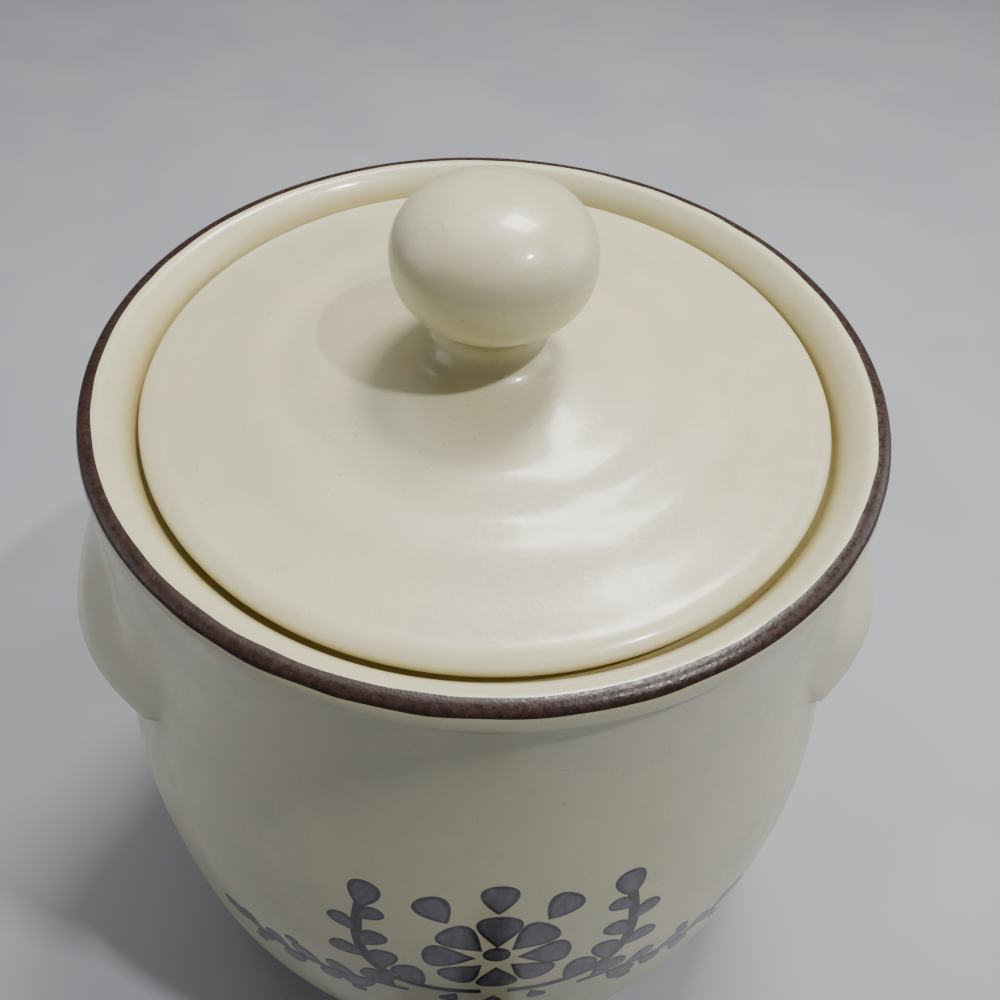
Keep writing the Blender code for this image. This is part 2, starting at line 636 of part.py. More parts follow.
def barrel_outline():
    """Outside of the barrel and nozzle, from the open top down to the outlet, in world heights."""
    nozzle = NOZZLE_BORE + NOZZLE_WALL
    points = [(0.0, BARREL_TOP), (BARREL_NECK_RADIUS, BARREL_TOP), (BARREL_NECK_RADIUS, NECK_BOTTOM)]
    points += [(BARREL_RADIUS - CHAMFER, NECK_BOTTOM), (BARREL_RADIUS, NECK_BOTTOM - CHAMFER)]
    points.append((BARREL_RADIUS, BARREL_BOTTOM + BARREL_FOOT_HEIGHT))
    foot = (BARREL_RADIUS - BARREL_FOOT_IN, BARREL_BOTTOM - BARREL_FOOT_DROP)
    points += bezier(points[-1], (BARREL_RADIUS, BARREL_BOTTOM), foot, 3)
    points += bezier(foot, (nozzle, foot[1] - BARREL_FOOT_DROP), (nozzle, BARREL_BOTTOM - NOZZLE_ROOT), 3)
    points.append((nozzle, OUTLET + NOZZLE_FLARE_HEIGHT))
    points.append((nozzle + NOZZLE_FLARE, OUTLET + NOZZLE_LIP))
    points.append((nozzle + NOZZLE_FLARE, OUTLET))
    points.append((0.0, OUTLET))
    return points


def make_tap_body():
    """Barrel, nozzle, arm, flange and shank in one moulded piece, with the chamber and the bore cut out."""
    to_barrel = Matrix.Translation((0.0, -BARREL_OUT, 0.0))
    body = turned("tap_body", barrel_outline(), TAP_SEGMENTS, TAP_PLASTIC, to_barrel)
    shank_length = FLANGE_FACE + PAST - SHANK_END
    shank = rod("shank_guide", SHANK_RADIUS, shank_length, TAP_SEGMENTS, at(SHANK_END, TAP_HEIGHT))
    flange_outline = [(0.0, FLANGE_THICKNESS), (FLANGE_RADIUS - CHAMFER_LARGE, FLANGE_THICKNESS),
                      (FLANGE_RADIUS, FLANGE_THICKNESS - CHAMFER_LARGE), (FLANGE_RADIUS, 0.0), (0.0, 0.0)]
    flange = turned("flange_guide", flange_outline, TAP_SEGMENTS, None, at(FLANGE_FACE, TAP_HEIGHT))
    arm_start = FLANGE_FACE + PAST
    arm = rod("arm_guide", TAP_ARM_RADIUS, BARREL_OUT - arm_start, TAP_SEGMENTS, at(arm_start, TAP_HEIGHT))
    combine(body, "UNION", arm, flange, shank)
    top = BARREL_TOP + PAST
    chamber = [(0.0, top), (CHAMBER_RADIUS, top), (CHAMBER_RADIUS, SEAT_TOP), (NOZZLE_BORE, SEAT_BOTTOM),
               (NOZZLE_BORE, OUTLET - PAST), (0.0, OUTLET - PAST)]
    chamber_cutter = turned("chamber_cutter", chamber, TAP_SEGMENTS, None, to_barrel)
    bore_start = SHANK_END - PAST
    bore = rod("bore_cutter", SHANK_BORE, BARREL_OUT - bore_start, TAP_SEGMENTS, at(bore_start, TAP_HEIGHT))
    combine(body, "DIFFERENCE", chamber_cutter, bore)


def make_valve(stem_home):
    """The stem with its head, collar and eye, and the soft cup that hangs on its head."""
    to_barrel = Matrix.Translation((0.0, -BARREL_OUT, 0.0))
    head = CUP_RADIUS - CUP_WALL - GAP
    low = STEM_HEAD_TOP - STEM_HEAD_THICKNESS
    outline = [(0.0, PIN_LEVEL), (STEM_RADIUS, PIN_LEVEL), (STEM_RADIUS, COLLAR_TOP),
               (COLLAR_RADIUS - CHAMFER, COLLAR_TOP), (COLLAR_RADIUS, COLLAR_TOP - CHAMFER),
               (COLLAR_RADIUS, COLLAR_BOTTOM), (STEM_NECK_RADIUS, COLLAR_BOTTOM),
               (STEM_NECK_RADIUS, STEM_HEAD_TOP), (head, STEM_HEAD_TOP), (head, low + CHAMFER_LARGE),
               (head - CHAMFER_LARGE, low), (0.0, low)]
    stem = turned("valve_stem", outline, SMALL_SEGMENTS, NYLON, to_barrel, stem_home)
    side = Matrix.Translation((-EYE_WIDTH / 2.0, -BARREL_OUT, PIN_LEVEL)) @ AXIS_SIDE
    eye = rod("eye_guide", EYE_RADIUS, EYE_WIDTH, SMALL_SEGMENTS, side)
    pin_hole = rod("stem_pin_cutter", PIN_RADIUS + GAP, 3.0 * EYE_WIDTH, SMALL_SEGMENTS,
                   Matrix.Translation((-1.5 * EYE_WIDTH, -BARREL_OUT, PIN_LEVEL)) @ AXIS_SIDE)
    combine(stem, "UNION", eye)
    combine(stem, "DIFFERENCE", pin_hole)
    pocket = CUP_RADIUS - CUP_WALL
    inside = CUP_TOP_LEVEL - CUP_TOP
    tip_level = CUP_RIM_LEVEL - (CUP_RADIUS - CUP_TIP_RADIUS) * SEAT_SLOPE
    cup = [(STEM_NECK_RADIUS + GAP, CUP_TOP_LEVEL), (CUP_RADIUS - CHAMFER_LARGE, CUP_TOP_LEVEL),
           (CUP_RADIUS, CUP_TOP_LEVEL - CHAMFER_LARGE), (CUP_RADIUS, CUP_RIM_LEVEL),
           (CUP_TIP_RADIUS, tip_level), (0.0, tip_level)]
    bottom = low - GAP
    lining = [(0.0, bottom), (pocket - CHAMFER_LARGE, bottom), (pocket, bottom + CHAMFER_LARGE),
              (pocket, inside), (STEM_NECK_RADIUS + GAP, inside)]
    turned("valve_cup", lining + cup, SMALL_SEGMENTS, SILICONE, to_barrel, stem_home)


def make_spring():
    """The closing spring: one wire in a coil between the stem's collar and the gland washer."""
    curve = bpy.data.curves.new("return_spring", "CURVE")
    curve.dimensions = "3D"
    curve.bevel_depth = SPRING_WIRE
    curve.bevel_resolution = 1
    curve.use_fill_caps = True
    count = SPRING_TURNS * SPRING_POINTS_A_TURN
    low = SPRING_BOTTOM + SPRING_WIRE
    high = SPRING_TOP - SPRING_WIRE
    line = curve.splines.new("POLY")
    line.points.add(count)
    pitch = (high - low) / SPRING_TURNS
    print("spring: least gap between turns %.2f mm" % (1000.0 * (pitch - 2.0 * SPRING_WIRE)))
    for i, point in enumerate(line.points):
        angle = math.tau * i / SPRING_POINTS_A_TURN
        x = SPRING_RADIUS * math.cos(angle)
        y = SPRING_RADIUS * math.sin(angle)
        point.co = (x, y, low + (high - low) * i / count, 1.0)
    mesh_of_curve("return_spring", curve, Matrix.Translation((0.0, -BARREL_OUT, 0.0)), STEEL)


def make_bonnet():
    """The fluted screw cap over the barrel, its seal, the stem's seal and the washer under it."""
    to_barrel = Matrix.Translation((0.0, -BARREL_OUT, 0.0))
    hole = STEM_RADIUS + GAP
    gland = hole + 2.0 * SEAL_SECTION + GAP
    low = NECK_BOTTOM + GAP
    outline = [(BONNET_INNER, BONNET_SHOULDER), (POCKET_RADIUS, BONNET_SHOULDER),
               (POCKET_RADIUS, GLAND_SHOULDER), (gland, GLAND_SHOULDER), (gland, GLAND_TOP),
               (hole, GLAND_TOP), (hole, BONNET_LID), (BONNET_RADIUS - BONNET_ROUND, BONNET_LID)]
    corner = (BONNET_RADIUS, BONNET_LID)
    outline += bezier(outline[-1], corner, (BONNET_RADIUS, BONNET_LID - BONNET_ROUND), 3)
    outline += [(BONNET_RADIUS, low + CHAMFER), (BONNET_RADIUS - CHAMFER, low), (BONNET_INNER, low)]
    bonnet = turned("bonnet", outline, TAP_SEGMENTS, TAP_PLASTIC, to_barrel)
    combine(bonnet, "DIFFERENCE", flute_cutter(low))
    seal_middle = BARREL_TOP + SEAL_SECTION + GAP
    seal_radius = BARREL_NECK_RADIUS - SEAL_SECTION - GAP
    seal = arc(seal_radius, seal_middle, SEAL_SECTION, 90.0, -225.0, 7)
    turned("bonnet_seal", seal, TAP_SEGMENTS, RUBBER, to_barrel)
    gland_middle = GLAND_SHOULDER + SEAL_SECTION + GAP
    stem_ring = STEM_RADIUS + GAP + SEAL_SECTION
    seal = arc(stem_ring, gland_middle, SEAL_SECTION, 90.0, -225.0, 7)
    turned("stem_seal", seal, SMALL_SEGMENTS, RUBBER, to_barrel)
    top = GLAND_SHOULDER - GAP
    under = top - GLAND_WASHER_THICKNESS
    flat = [(GLAND_WASHER_RADIUS, top), (GLAND_WASHER_RADIUS, under), (hole, under), (hole, top)]
    turned("gland_washer", flat, SMALL_SEGMENTS, STEEL, to_barrel)


def flute_cutter(low):
    """Upright grooves round the bonnet's skirt, as one guide mesh of separate rods."""
    mesh = bpy.data.meshes.new("flute_cutter")
    build = bmesh.new()
    radius = BONNET_FLUTE_RADIUS
    length = BONNET_LID - BONNET_FLUTE_TOP_GAP - low
    out = BONNET_RADIUS + radius - BONNET_FLUTE_DEPTH
    for i in range(BONNET_FLUTES):
        angle = math.tau * (i + 0.5) / BONNET_FLUTES
        spot = Matrix.Translation((out * math.cos(angle), out * math.sin(angle), low - PAST + length / 2.0))
        bmesh.ops.create_cone(build, cap_ends=True, segments=8, radius1=radius, radius2=radius, depth=length,
                              matrix=spot)
    build.to_mesh(mesh)
    build.free()
    return place("flute_cutter", mesh, None, Matrix.Translation((0.0, -BARREL_OUT, 0.0)))


def cam_outline():
    """Side view of the lever as (forward, up) from the pin: cam foot, heel and arm.

    The foot is an involute, so that the pin rises by CAM_RATE for each radian of tilt while the foot stays
    GAP off the bonnet.
    """
    points = []
    for tilt in spread(0.0, LEVER_TILT + LEVER_SPARE_TILT, 9):
        depth = CAM_BASE + CAM_RATE * tilt
        forward = depth * math.sin(tilt) + CAM_RATE * math.cos(tilt)
        up = -depth * math.cos(tilt) + CAM_RATE * math.sin(tilt)
        points.append((forward, up))
    nose = points[-1]
    front = LEVER_ARM_DEPTH / 2.0
    points += bezier(nose, (nose[0], nose[1] + 0.5 * LEVER_ARM_DEPTH), (front, LEVER_THROAT_FRONT), 4)
    points.append((front, LEVER_LENGTH))
    points.append((-front, LEVER_LENGTH))
    points.append((-front, LEVER_THROAT_BACK))
    points += bezier(points[-1], (-LEVER_HEEL, 0.5 * LEVER_THROAT_BACK), (-LEVER_HEEL, 0.0), 3)
    points += bezier((-LEVER_HEEL, 0.0), (-LEVER_HEEL, -CAM_BASE), (-CHAMFER, -CAM_BASE), 4)
    return points


def make_lever(lever_home):
    """The forked lever with its cam foot and finger paddle, and the pin through its fork."""
    side = Matrix.Translation((0.0, -BARREL_OUT, PIN_LEVEL)) @ SIDE_VIEW
    lever = extruded("tap_lever", cam_outline(), LEVER_WIDTH, side, TAP_PLASTIC, lever_home)
    paddle_spot = at(BARREL_OUT - PADDLE_THICKNESS / 2.0, PIN_LEVEL + LEVER_LENGTH)
    paddle = rod("paddle_guide", PADDLE_RADIUS, PADDLE_THICKNESS, TAP_SEGMENTS, paddle_spot)
    round_edges(paddle, PADDLE_ROUND)
    combine(lever, "UNION", paddle)
    mesh = bpy.data.meshes.new("fork_cutter")
    build = bmesh.new()
    bmesh.ops.create_cube(build, size=1.0)
    low = -CAM_BASE - PAST
    bmesh.ops.scale(build, verts=build.verts, vec=(FORK_SLOT, 2.0 * LEVER_LENGTH, FORK_DEPTH - low))
    bmesh.ops.translate(build, verts=build.verts, vec=(0.0, 0.0, (FORK_DEPTH + low) / 2.0))
    build.to_mesh(mesh)
    build.free()
    fork = place("fork_cutter", mesh, None, Matrix.Translation((0.0, -BARREL_OUT, PIN_LEVEL)))
    pin_start = Matrix.Translation((-LEVER_WIDTH, -BARREL_OUT, PIN_LEVEL)) @ AXIS_SIDE
    pin_hole = rod("lever_pin_cutter", PIN_RADIUS + GAP, 2.0 * LEVER_WIDTH, SMALL_SEGMENTS, pin_start)
    combine(lever, "DIFFERENCE", fork, pin_hole)
    head_in = LEVER_WIDTH / 2.0 + GAP
    head_out = head_in + PIN_HEAD_THICKNESS
    rim = PIN_HEAD_RADIUS - CHAMFER
    half_outline = [(0.0, head_out), (rim, head_out), (PIN_HEAD_RADIUS, head_out - CHAMFER),
                    (PIN_HEAD_RADIUS, head_in), (PIN_RADIUS, head_in)]
    outline = half_outline + [(r, -z) for r, z in reversed(half_outline)]
    pin_spot = Matrix.Translation((0.0, -BARREL_OUT, PIN_LEVEL)) @ AXIS_SIDE
    turned("lever_pin", outline, SMALL_SEGMENTS, STEEL, pin_spot, lever_home)


def empty(name, spot):
    """An empty on a joint's axis, the parent of the pieces that move there."""
    thing = bpy.data.objects.new(name, None)
    collection("cutters").objects.link(thing)
    thing.location = Vector(spot)
    return thing


def adopt(home):
    """Keep the world places of an empty's children, which were placed before the empty was updated."""
    bpy.context.view_layer.update()
    for child in home.children:
        child.matrix_parent_inverse = home.matrix_world.inverted()


def main():
    """Build the whole dispenser."""
    for thing in list(bpy.data.objects):
        bpy.data.objects.remove(thing)
    make_crock()
    make_lid()
    make_clamp()
    make_tap_body()
    stem_home = empty("stem_axis", (0.0, -BARREL_OUT, SEAT_TOP))
    lever_home = empty("lever_axis", (0.0, -BARREL_OUT, PIN_LEVEL))
    make_valve(stem_home)
    make_spring()
    make_bonnet()
    make_lever(lever_home)
    adopt(stem_home)
    adopt(lever_home)
    print("tap: stem lifts %.4f m a radian of lever tilt" % CAM_RATE)


main()
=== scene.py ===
"""Looks of a stoneware beverage dispenser crock with a recessed lid and a lever tap.

Sizes are in metres unless a docstring says millimetres. +Z is up, the base rests on z = 0 and the tap points
to -Y. Each class is one sub-assembly with its sizes as fields, and each finish is a frozen dataclass.
"""
import logging
import math
from collections import Counter
from dataclasses import dataclass, field, replace
from enum import Enum
from functools import cached_property, partialmethod
from typing import Any, Callable, Iterable, Sequence

import bmesh
import bpy
from mathutils import Matrix, Vector, noise


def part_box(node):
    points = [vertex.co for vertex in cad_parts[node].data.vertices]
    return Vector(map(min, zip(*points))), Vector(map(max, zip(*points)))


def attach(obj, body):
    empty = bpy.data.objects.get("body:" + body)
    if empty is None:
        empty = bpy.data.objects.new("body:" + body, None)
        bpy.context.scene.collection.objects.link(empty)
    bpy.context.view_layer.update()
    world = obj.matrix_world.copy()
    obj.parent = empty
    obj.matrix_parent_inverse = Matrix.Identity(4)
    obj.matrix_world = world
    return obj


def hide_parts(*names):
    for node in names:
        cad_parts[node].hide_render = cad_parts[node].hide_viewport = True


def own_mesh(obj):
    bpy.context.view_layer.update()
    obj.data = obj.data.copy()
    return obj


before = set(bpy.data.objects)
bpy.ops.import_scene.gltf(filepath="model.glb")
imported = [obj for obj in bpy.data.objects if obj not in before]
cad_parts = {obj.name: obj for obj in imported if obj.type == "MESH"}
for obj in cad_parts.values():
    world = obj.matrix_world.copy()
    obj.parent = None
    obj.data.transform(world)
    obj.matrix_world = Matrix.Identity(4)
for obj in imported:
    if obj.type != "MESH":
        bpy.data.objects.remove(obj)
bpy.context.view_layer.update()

LOG = logging.getLogger("crock")
logging.basicConfig(level=logging.INFO, format="%(name)s: %(message)s")

MM = 0.001
Tree = bpy.types.NodeTree
Piece = bpy.types.Object
Mesh = bpy.types.Mesh
Material = bpy.types.Material
Point = tuple[float, float]
Corners = tuple[tuple[float, ...], ...]
Faces = list[tuple[int, ...]]


class Body(Enum):
    """The rigid bodies of the frame that a piece here rides on."""

    CROCK = "crock"
    LID = "lid"
    LEVER = "lever"


# Nodes


def colour(hex_code: str) -> tuple[float, float, float, float]:
    """Turn an sRGB hex colour into linear RGBA.

    Args:
        hex_code: Six hex digits with a leading hash.

    Returns:
        The linear colour with alpha 1.
    """
    parts = [int(hex_code[i:i + 2], 16) / 255.0 for i in (1, 3, 5)]
    linear = [c / 12.92 if c <= 0.04045 else ((c + 0.055) / 1.055) ** 2.4 for c in parts]
    return (*linear, 1.0)


@dataclass(frozen=True)
class Term:
    """One output of a node, with which sums can be written as usual."""

    node: bpy.types.Node
    output: int | str = 0

    @property
    def tree(self) -> Tree:
        """The tree that the node stands in."""
        return self.node.id_data

    def __getitem__(self, output: int | str) -> "Term":
        """Another output of the same node."""
        return Term(self.node, output)

    def apply(self, operation: str, *others: Any) -> "Term":
        """The named sum on this value and others."""
        return add_node(self.tree, "ShaderNodeMath", dict(enumerate((self, *others))), operation=operation)

    def __rsub__(self, other: float) -> "Term":
        """This value taken from a number."""
        return add_node(self.tree, "ShaderNodeMath", {0: other, 1: self}, operation="SUBTRACT")

    # The other signs are named sums too.
    __add__ = __radd__ = partialmethod(apply, "ADD")
    __sub__ = partialmethod(apply, "SUBTRACT")
    __mul__ = __rmul__ = partialmethod(apply, "MULTIPLY")
    __truediv__ = partialmethod(apply, "DIVIDE")
    __pow__ = partialmethod(apply, "POWER")
    __abs__ = partialmethod(apply, "ABSOLUTE")


def add_node(tree: Tree, kind: str, inputs: dict[Any, Any] | None = None, **settings: Any) -> Term:
    """Add one node with its settings, its input values and its links.

    Args:
        tree: The tree that gets the node.
        kind: The node's type name.
        inputs: Input name or number to a value or to the term that feeds it.
        **settings: Properties of the node itself.

    Returns:
        The new node's first output.
    """
    node = tree.nodes.new(kind)
    for name, value in settings.items():
        setattr(node, name, value)
    for key, value in (inputs or {}).items():
        socket = node.inputs[key]
        if isinstance(key, str):
            socket = next(s for s in node.inputs if s.name == key and s.enabled)
        if isinstance(value, Term):
            tree.links.new(value.node.outputs[value.output], socket)
        else:
            socket.default_value = value
    return Term(node)


def geometry_tree(name: str, shape: Callable[[Term], Term], values: dict[str, float]) -> Tree:
    """Build a geometry tree with named inputs that ends in real geometry with its material.

    Args:
        name: The tree's name.
        shape: Makes the nodes between the one that gives the inputs and the geometry.
        values: Its inputs; a whole number makes a socket for whole numbers.

    Returns:
        The tree.
    """
    tree = bpy.data.node_groups.new(name, "GeometryNodeTree")
    tree.interface.new_socket("Geometry", in_out="OUTPUT", socket_type="NodeSocketGeometry")
    kinds = {label: "Int" if isinstance(value, int) else "Float" for label, value in values.items()}
    for label, kind in ({"Geometry": "Geometry", "Material": "Material"} | kinds).items():
        tree.interface.new_socket(label, in_out="INPUT", socket_type="NodeSocket" + kind)
    given = add_node(tree, "NodeGroupInput")
    real = add_node(tree, "GeometryNodeRealizeInstances", {0: shape(given)})
    dressed = add_node(tree, "GeometryNodeSetMaterial", {"Geometry": real, "Material": given["Material"]})
    add_node(tree, "NodeGroupOutput", {0: dressed})
    return tree


def grow(name: str, shape: Callable[[Term], Term], seed: Mesh, values: dict[str, float]) -> Mesh:
    """Run a geometry tree on a mesh.

    Args:
        name: The tree's name; it is built at its first use.
        shape: Makes its nodes.
        seed: The mesh that it starts from.
        values: Input name to value.

    Returns:
        The result as a plain mesh.
    """
    tree = bpy.data.node_groups.get(name) or geometry_tree(name, shape, values)
    thing = link_object(name, seed)
    step = thing.modifiers.new(name, "NODES")
    step.node_group = tree
    for item in tree.interface.items_tree:
        if item.in_out == "INPUT" and item.name in values:
            step[item.identifier] = values[item.name]
    mesh = evaluated_mesh(thing)
    bpy.data.objects.remove(thing)
    return mesh


# Lines and meshes


def spread(low: float, high: float, steps: int) -> list[float]:
    """Evenly spaced values from low to high, both included."""
    return [low + (high - low) * i / steps for i in range(steps + 1)]


def in_mm(points: Iterable[Point]) -> list[Point]:
    """Points given in millimetres, in metres."""
    return [(a * MM, b * MM) for a, b in points]


def smoothstep(low: float, high: float, value: float) -> float:
    """Smooth step from 0 at low to 1 at high."""
    t = min(max((value - low) / (high - low), 0.0), 1.0)
    return t * t * (3.0 - 2.0 * t)


def polar(r: float, angle: float, z: float) -> Vector:
    """Place at a radius, an angle round the Z axis and a height."""
    return Vector((r * math.cos(angle), r * math.sin(angle), z))


def arc(centre: Point, radius: float, start: float, end: float, steps: int) -> list[Point]:
    """Points on an arc from one angle to another, both in degrees from the first axis."""
    angles = [math.radians(a) for a in spread(start, end, steps)]
    return [(centre[0] + radius * math.cos(a), centre[1] + radius * math.sin(a)) for a in angles]


def bend(a: Point, b: Point, c: Point, steps: int) -> list[Point]:
    """Points of a quadratic curve from a to c pulled towards b, without its first point."""
    return [tuple((1 - t) ** 2 * p + 2 * t * (1 - t) * q + t * t * s for p, q, s in zip(a, b, c))
            for t in spread(0.0, 1.0, steps)[1:]]


def trace(corners: Corners) -> list[Point]:
    """Draw an outline through corners.

    Args:
        corners: Points in millimetres. One with a third number pulls the line between its neighbours towards
            itself, in a bend of that many steps.

    Returns:
        The outline in metres.
    """
    points: list[Point] = []
    for before, corner, after in zip(((), *corners), corners, (*corners[1:], ())):
        if len(corner) == 3:
            points += bend(points[-1], corner[:2], after, corner[2])
        elif len(before) < 3:
            points.append(corner)
    return in_mm(points)


def add_ring(verts: list[Vector], places: Sequence[Vector]) -> list[int]:
    """Add vertices and give their numbers."""
    verts.extend(places)
    return list(range(len(verts) - len(places), len(verts)))


def skin(rows: Sequence[Sequence[int]], holes: Iterable[tuple[int, int]] = ()) -> Faces:
    """Join closed rings of vertices by faces.

    Args:
        rows: Each ring's vertex numbers; a pole is a ring of one number repeated.
        holes: Places, as (row, column), that stay open.

    Returns:
        The faces as vertex numbers.
    """
    faces = []
    for j, (a, b) in enumerate(zip(rows, rows[1:])):
        for i in range(len(a)):
            k = (i + 1) % len(a)
            if (j, i) not in holes:
                faces.append(tuple(dict.fromkeys((a[i], a[k], b[k], b[i]))))
    return faces


def link_object(name: str, data: bpy.types.ID) -> Piece:
    """Put something into the scene.

    Args:
        name: The object's name.
        data: Its mesh, lamp or camera.

    Returns:
        The object.
    """
    thing = bpy.data.objects.new(name, data)
    bpy.context.scene.collection.objects.link(thing)
    return thing


def link_piece(name: str, mesh: Mesh, sharp: float = 180.0) -> Piece:
    """Link a mesh as an object with smooth shading.

    Args:
        name: The object's name.
        mesh: Its mesh.
        sharp: Edges that turn by more degrees than this stay crisp.

    Returns:
        The object.
    """
    mesh.name = name
    mesh.shade_smooth()
    if sharp < 180.0:
        mesh.set_sharp_from_angle(angle=math.radians(sharp))
    return link_object(name, mesh)


def piece_from(name: str, verts: Sequence[Vector], faces: Faces, sharp: float = 180.0) -> Piece:
    """Make a smooth-shaded object whose faces point outwards.

    Args:
        name: The object's name.
        verts: Its vertices.
        faces: Its faces as vertex numbers.
        sharp: Edges that turn by more degrees than this stay crisp.

    Returns:
        The object.
    """
    mesh = bpy.data.meshes.new(name)
    mesh.from_pydata(verts, [], faces)
    build = bmesh.new()
    build.from_mesh(mesh)
    bmesh.ops.recalc_face_normals(build, faces=build.faces)
    build.to_mesh(mesh)
    build.free()
    return link_piece(name, mesh, sharp)


def path_mesh(points: Sequence[Point], closed: bool = False) -> Mesh:
    """Draw a flat line as the edges of a mesh.

    Args:
        points: (across, up) places along it.
        closed: Whether it ends where it starts.

    Returns:
        The mesh.
    """
    mesh = bpy.data.meshes.new("path")
    edges = [(i, i + 1) for i in range(len(points) - 1)]
    if closed:
        edges.append((len(points) - 1, 0))
    mesh.from_pydata([(x, y, 0.0) for x, y in points], edges, [])
    return mesh


def lathe(name: str, outline: Sequence[Point], segments: int, place: Matrix, sharp: float = 35.0) -> Piece:
    """Turn an outline about its own Z axis.

    Args:
        name: The object's name.
        outline: (radius, height) points; one that doesn't start on the axis closes as a ring.
        segments: Facets round the circle.
        place: Where the axis goes.
        sharp: Edges that turn by more degrees than this stay crisp.

    Returns:
        The closed object.
    """
    verts: list[Vector] = []
    rows = []
    for r, z in outline:
        ring = [place @ polar(r, math.tau * i / segments, z) for i in range(segments if r > 0.0 else 1)]
        rows.append(add_ring(verts, ring) * (segments // len(ring)))
    if outline[0][0] > 0.0:
        rows.append(rows[0])
    return piece_from(name, verts, skin(rows), sharp)


def evaluated_mesh(thing: Piece) -> Mesh:
    """The object's evaluated geometry as a plain mesh of its own."""
    bpy.context.view_layer.update()
    return bpy.data.meshes.new_from_object(thing.evaluated_get(bpy.context.evaluated_depsgraph_get()))


def join_solid(thing: Piece, operation: str, others: Sequence[Piece]) -> Piece:
    """Union or cut an object with others, which are then removed, and keep the result as a plain mesh.

    Args:
        thing: The object to change.
        operation: UNION or DIFFERENCE.
        others: The solids to join or cut with.

    Returns:
        A new object under the same name.
    """
    for other in others:
        step = thing.modifiers.new(operation.lower(), "BOOLEAN")
        step.operation = operation
        step.object = other
        step.solver = "EXACT"
    name = thing.name
    mesh = evaluated_mesh(thing)
    for old in (thing, *others):
        bpy.data.objects.remove(old)
    return link_piece(name, mesh, 35.0)


def finish_piece(piece: Piece, body: Body, material: Material, slot: str, *nodes: str) -> None:
    """Dress a finished piece and tie it to its body.

    Args:
        piece: The piece, in place.
        body: The body that it rides on.
        material: Its material.
        slot: Not used.
        *nodes: The frame's nodes that it stands for.
    """
    piece.data.materials.clear()
    piece.data.materials.append(material)
    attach(piece, body.value)
    if nodes:
        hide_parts(*nodes)
    LOG.info("%s: %d faces on %s", piece.name, len(piece.data.polygons), body.value)


# Finishes


class Recipe:
    """A material in the making: tints are laid over each other and lumps are raised on each other."""

    def __init__(self, name: str, base: str) -> None:
        """Start a material in one colour, with its patterns on Object coordinates.

        Args:
            name: The material's name.
            base: The colour, as sRGB hex.
        """
        self.material = bpy.data.materials.new(name)
        self.material.use_nodes = True
        self.tree = self.material.node_tree
        self.tree.nodes.clear()
        self.place = add_node(self.tree, "ShaderNodeTexCoord")["Object"]
        self.inputs: dict[str, Any] = {"Base Color": colour(base)}

    def grain(self, size: float, detail: float = 2.0, span: Point = (0.35, 0.65), ends: Point = (0.0, 1.0),
              stretch: Sequence[float] = (1.0, 1.0, 1.0)) -> Term:
        """Noise with features of a real size.

        Args:
            size: Size of a feature.
            detail: Octaves of finer noise on top.
            span: The two noise values that become the ends.
            ends: The least and the most value of the result.
            stretch: Scale of the coordinates, below 1 for streaks along that axis.

        Returns:
            The noise between its ends.
        """
        place = self.place
        if min(stretch) < 1.0:
            place = add_node(self.tree, "ShaderNodeMapping", {"Vector": place, "Scale": stretch})
        cloud = add_node(self.tree, "ShaderNodeTexNoise", {
            "Vector": place, "Scale": 1.0 / size, "Detail": detail})
        return add_node(self.tree, "ShaderNodeMapRange", {
            "Value": cloud, "From Min": span[0], "From Max": span[1], "To Min": ends[0], "To Max": ends[1],
        }, interpolation_type="SMOOTHSTEP")

    def lay(self, tint: str, amount: Term) -> None:
        """Lay a colour over what is there.

        Args:
            tint: The colour, as sRGB hex.
            amount: How much of it, from 0 to 1.
        """
        below = self.inputs["Base Color"]
        mixed = add_node(self.tree, "ShaderNodeMix", {0: amount, 6: below, 7: colour(tint)}, data_type="RGBA")
        self.inputs["Base Color"] = mixed[2]

    def lumps(self, size: float, depth: float, detail: float = 2.0) -> None:
        """Raise lumps on those that are there.

        Args:
            size: Size of a lump.
            depth: How far it stands out.
            detail: Octaves of finer noise on top.
        """
        below = {name: value for name, value in self.inputs.items() if name == "Normal"}
        height = self.grain(size, detail, (0.2, 0.8))
        self.inputs["Normal"] = add_node(self.tree, "ShaderNodeBump", {
            "Height": height, "Distance": depth, "Strength": 1.0, **below})

    def fire(self, others: dict[str, Any]) -> Material:
        """Finish the material.

        Args:
            others: The shader's other inputs.

        Returns:
            The material.
        """
        shader = add_node(self.tree, "ShaderNodeBsdfPrincipled", self.inputs | others)
        add_node(self.tree, "ShaderNodeOutputMaterial", {"Surface": shader})
        return self.material


@dataclass(frozen=True)
class Zone:
    """A tinted band round the axis: heights over a level, radii and the edge's softness in millimetres."""

    tint: str
    level: float
    heights: Point
    radii: Point
    soft: float
    dry: bool = False

    def mask(self, height: Term, radius: Term) -> Term:
        """Value that is 1 inside the zone and falls to 0 over the soft edge.

        Args:
            height: The point's height.
            radius: Its distance from the axis.

        Returns:
            The mask.
        """
        sides = []
        for value, (low, high) in ((height - self.level, self.heights), (radius, self.radii)):
            half = (high - low) / 2.0
            sides.append(add_node(value.tree, "ShaderNodeMapRange", {
                "Value": abs(value - (low + half) * MM), "From Min": half * MM,
                "From Max": (half + self.soft) * MM, "To Min": 1.0, "To Max": 0.0,
            }, interpolation_type="SMOOTHSTEP"))
        return sides[0] * sides[1]


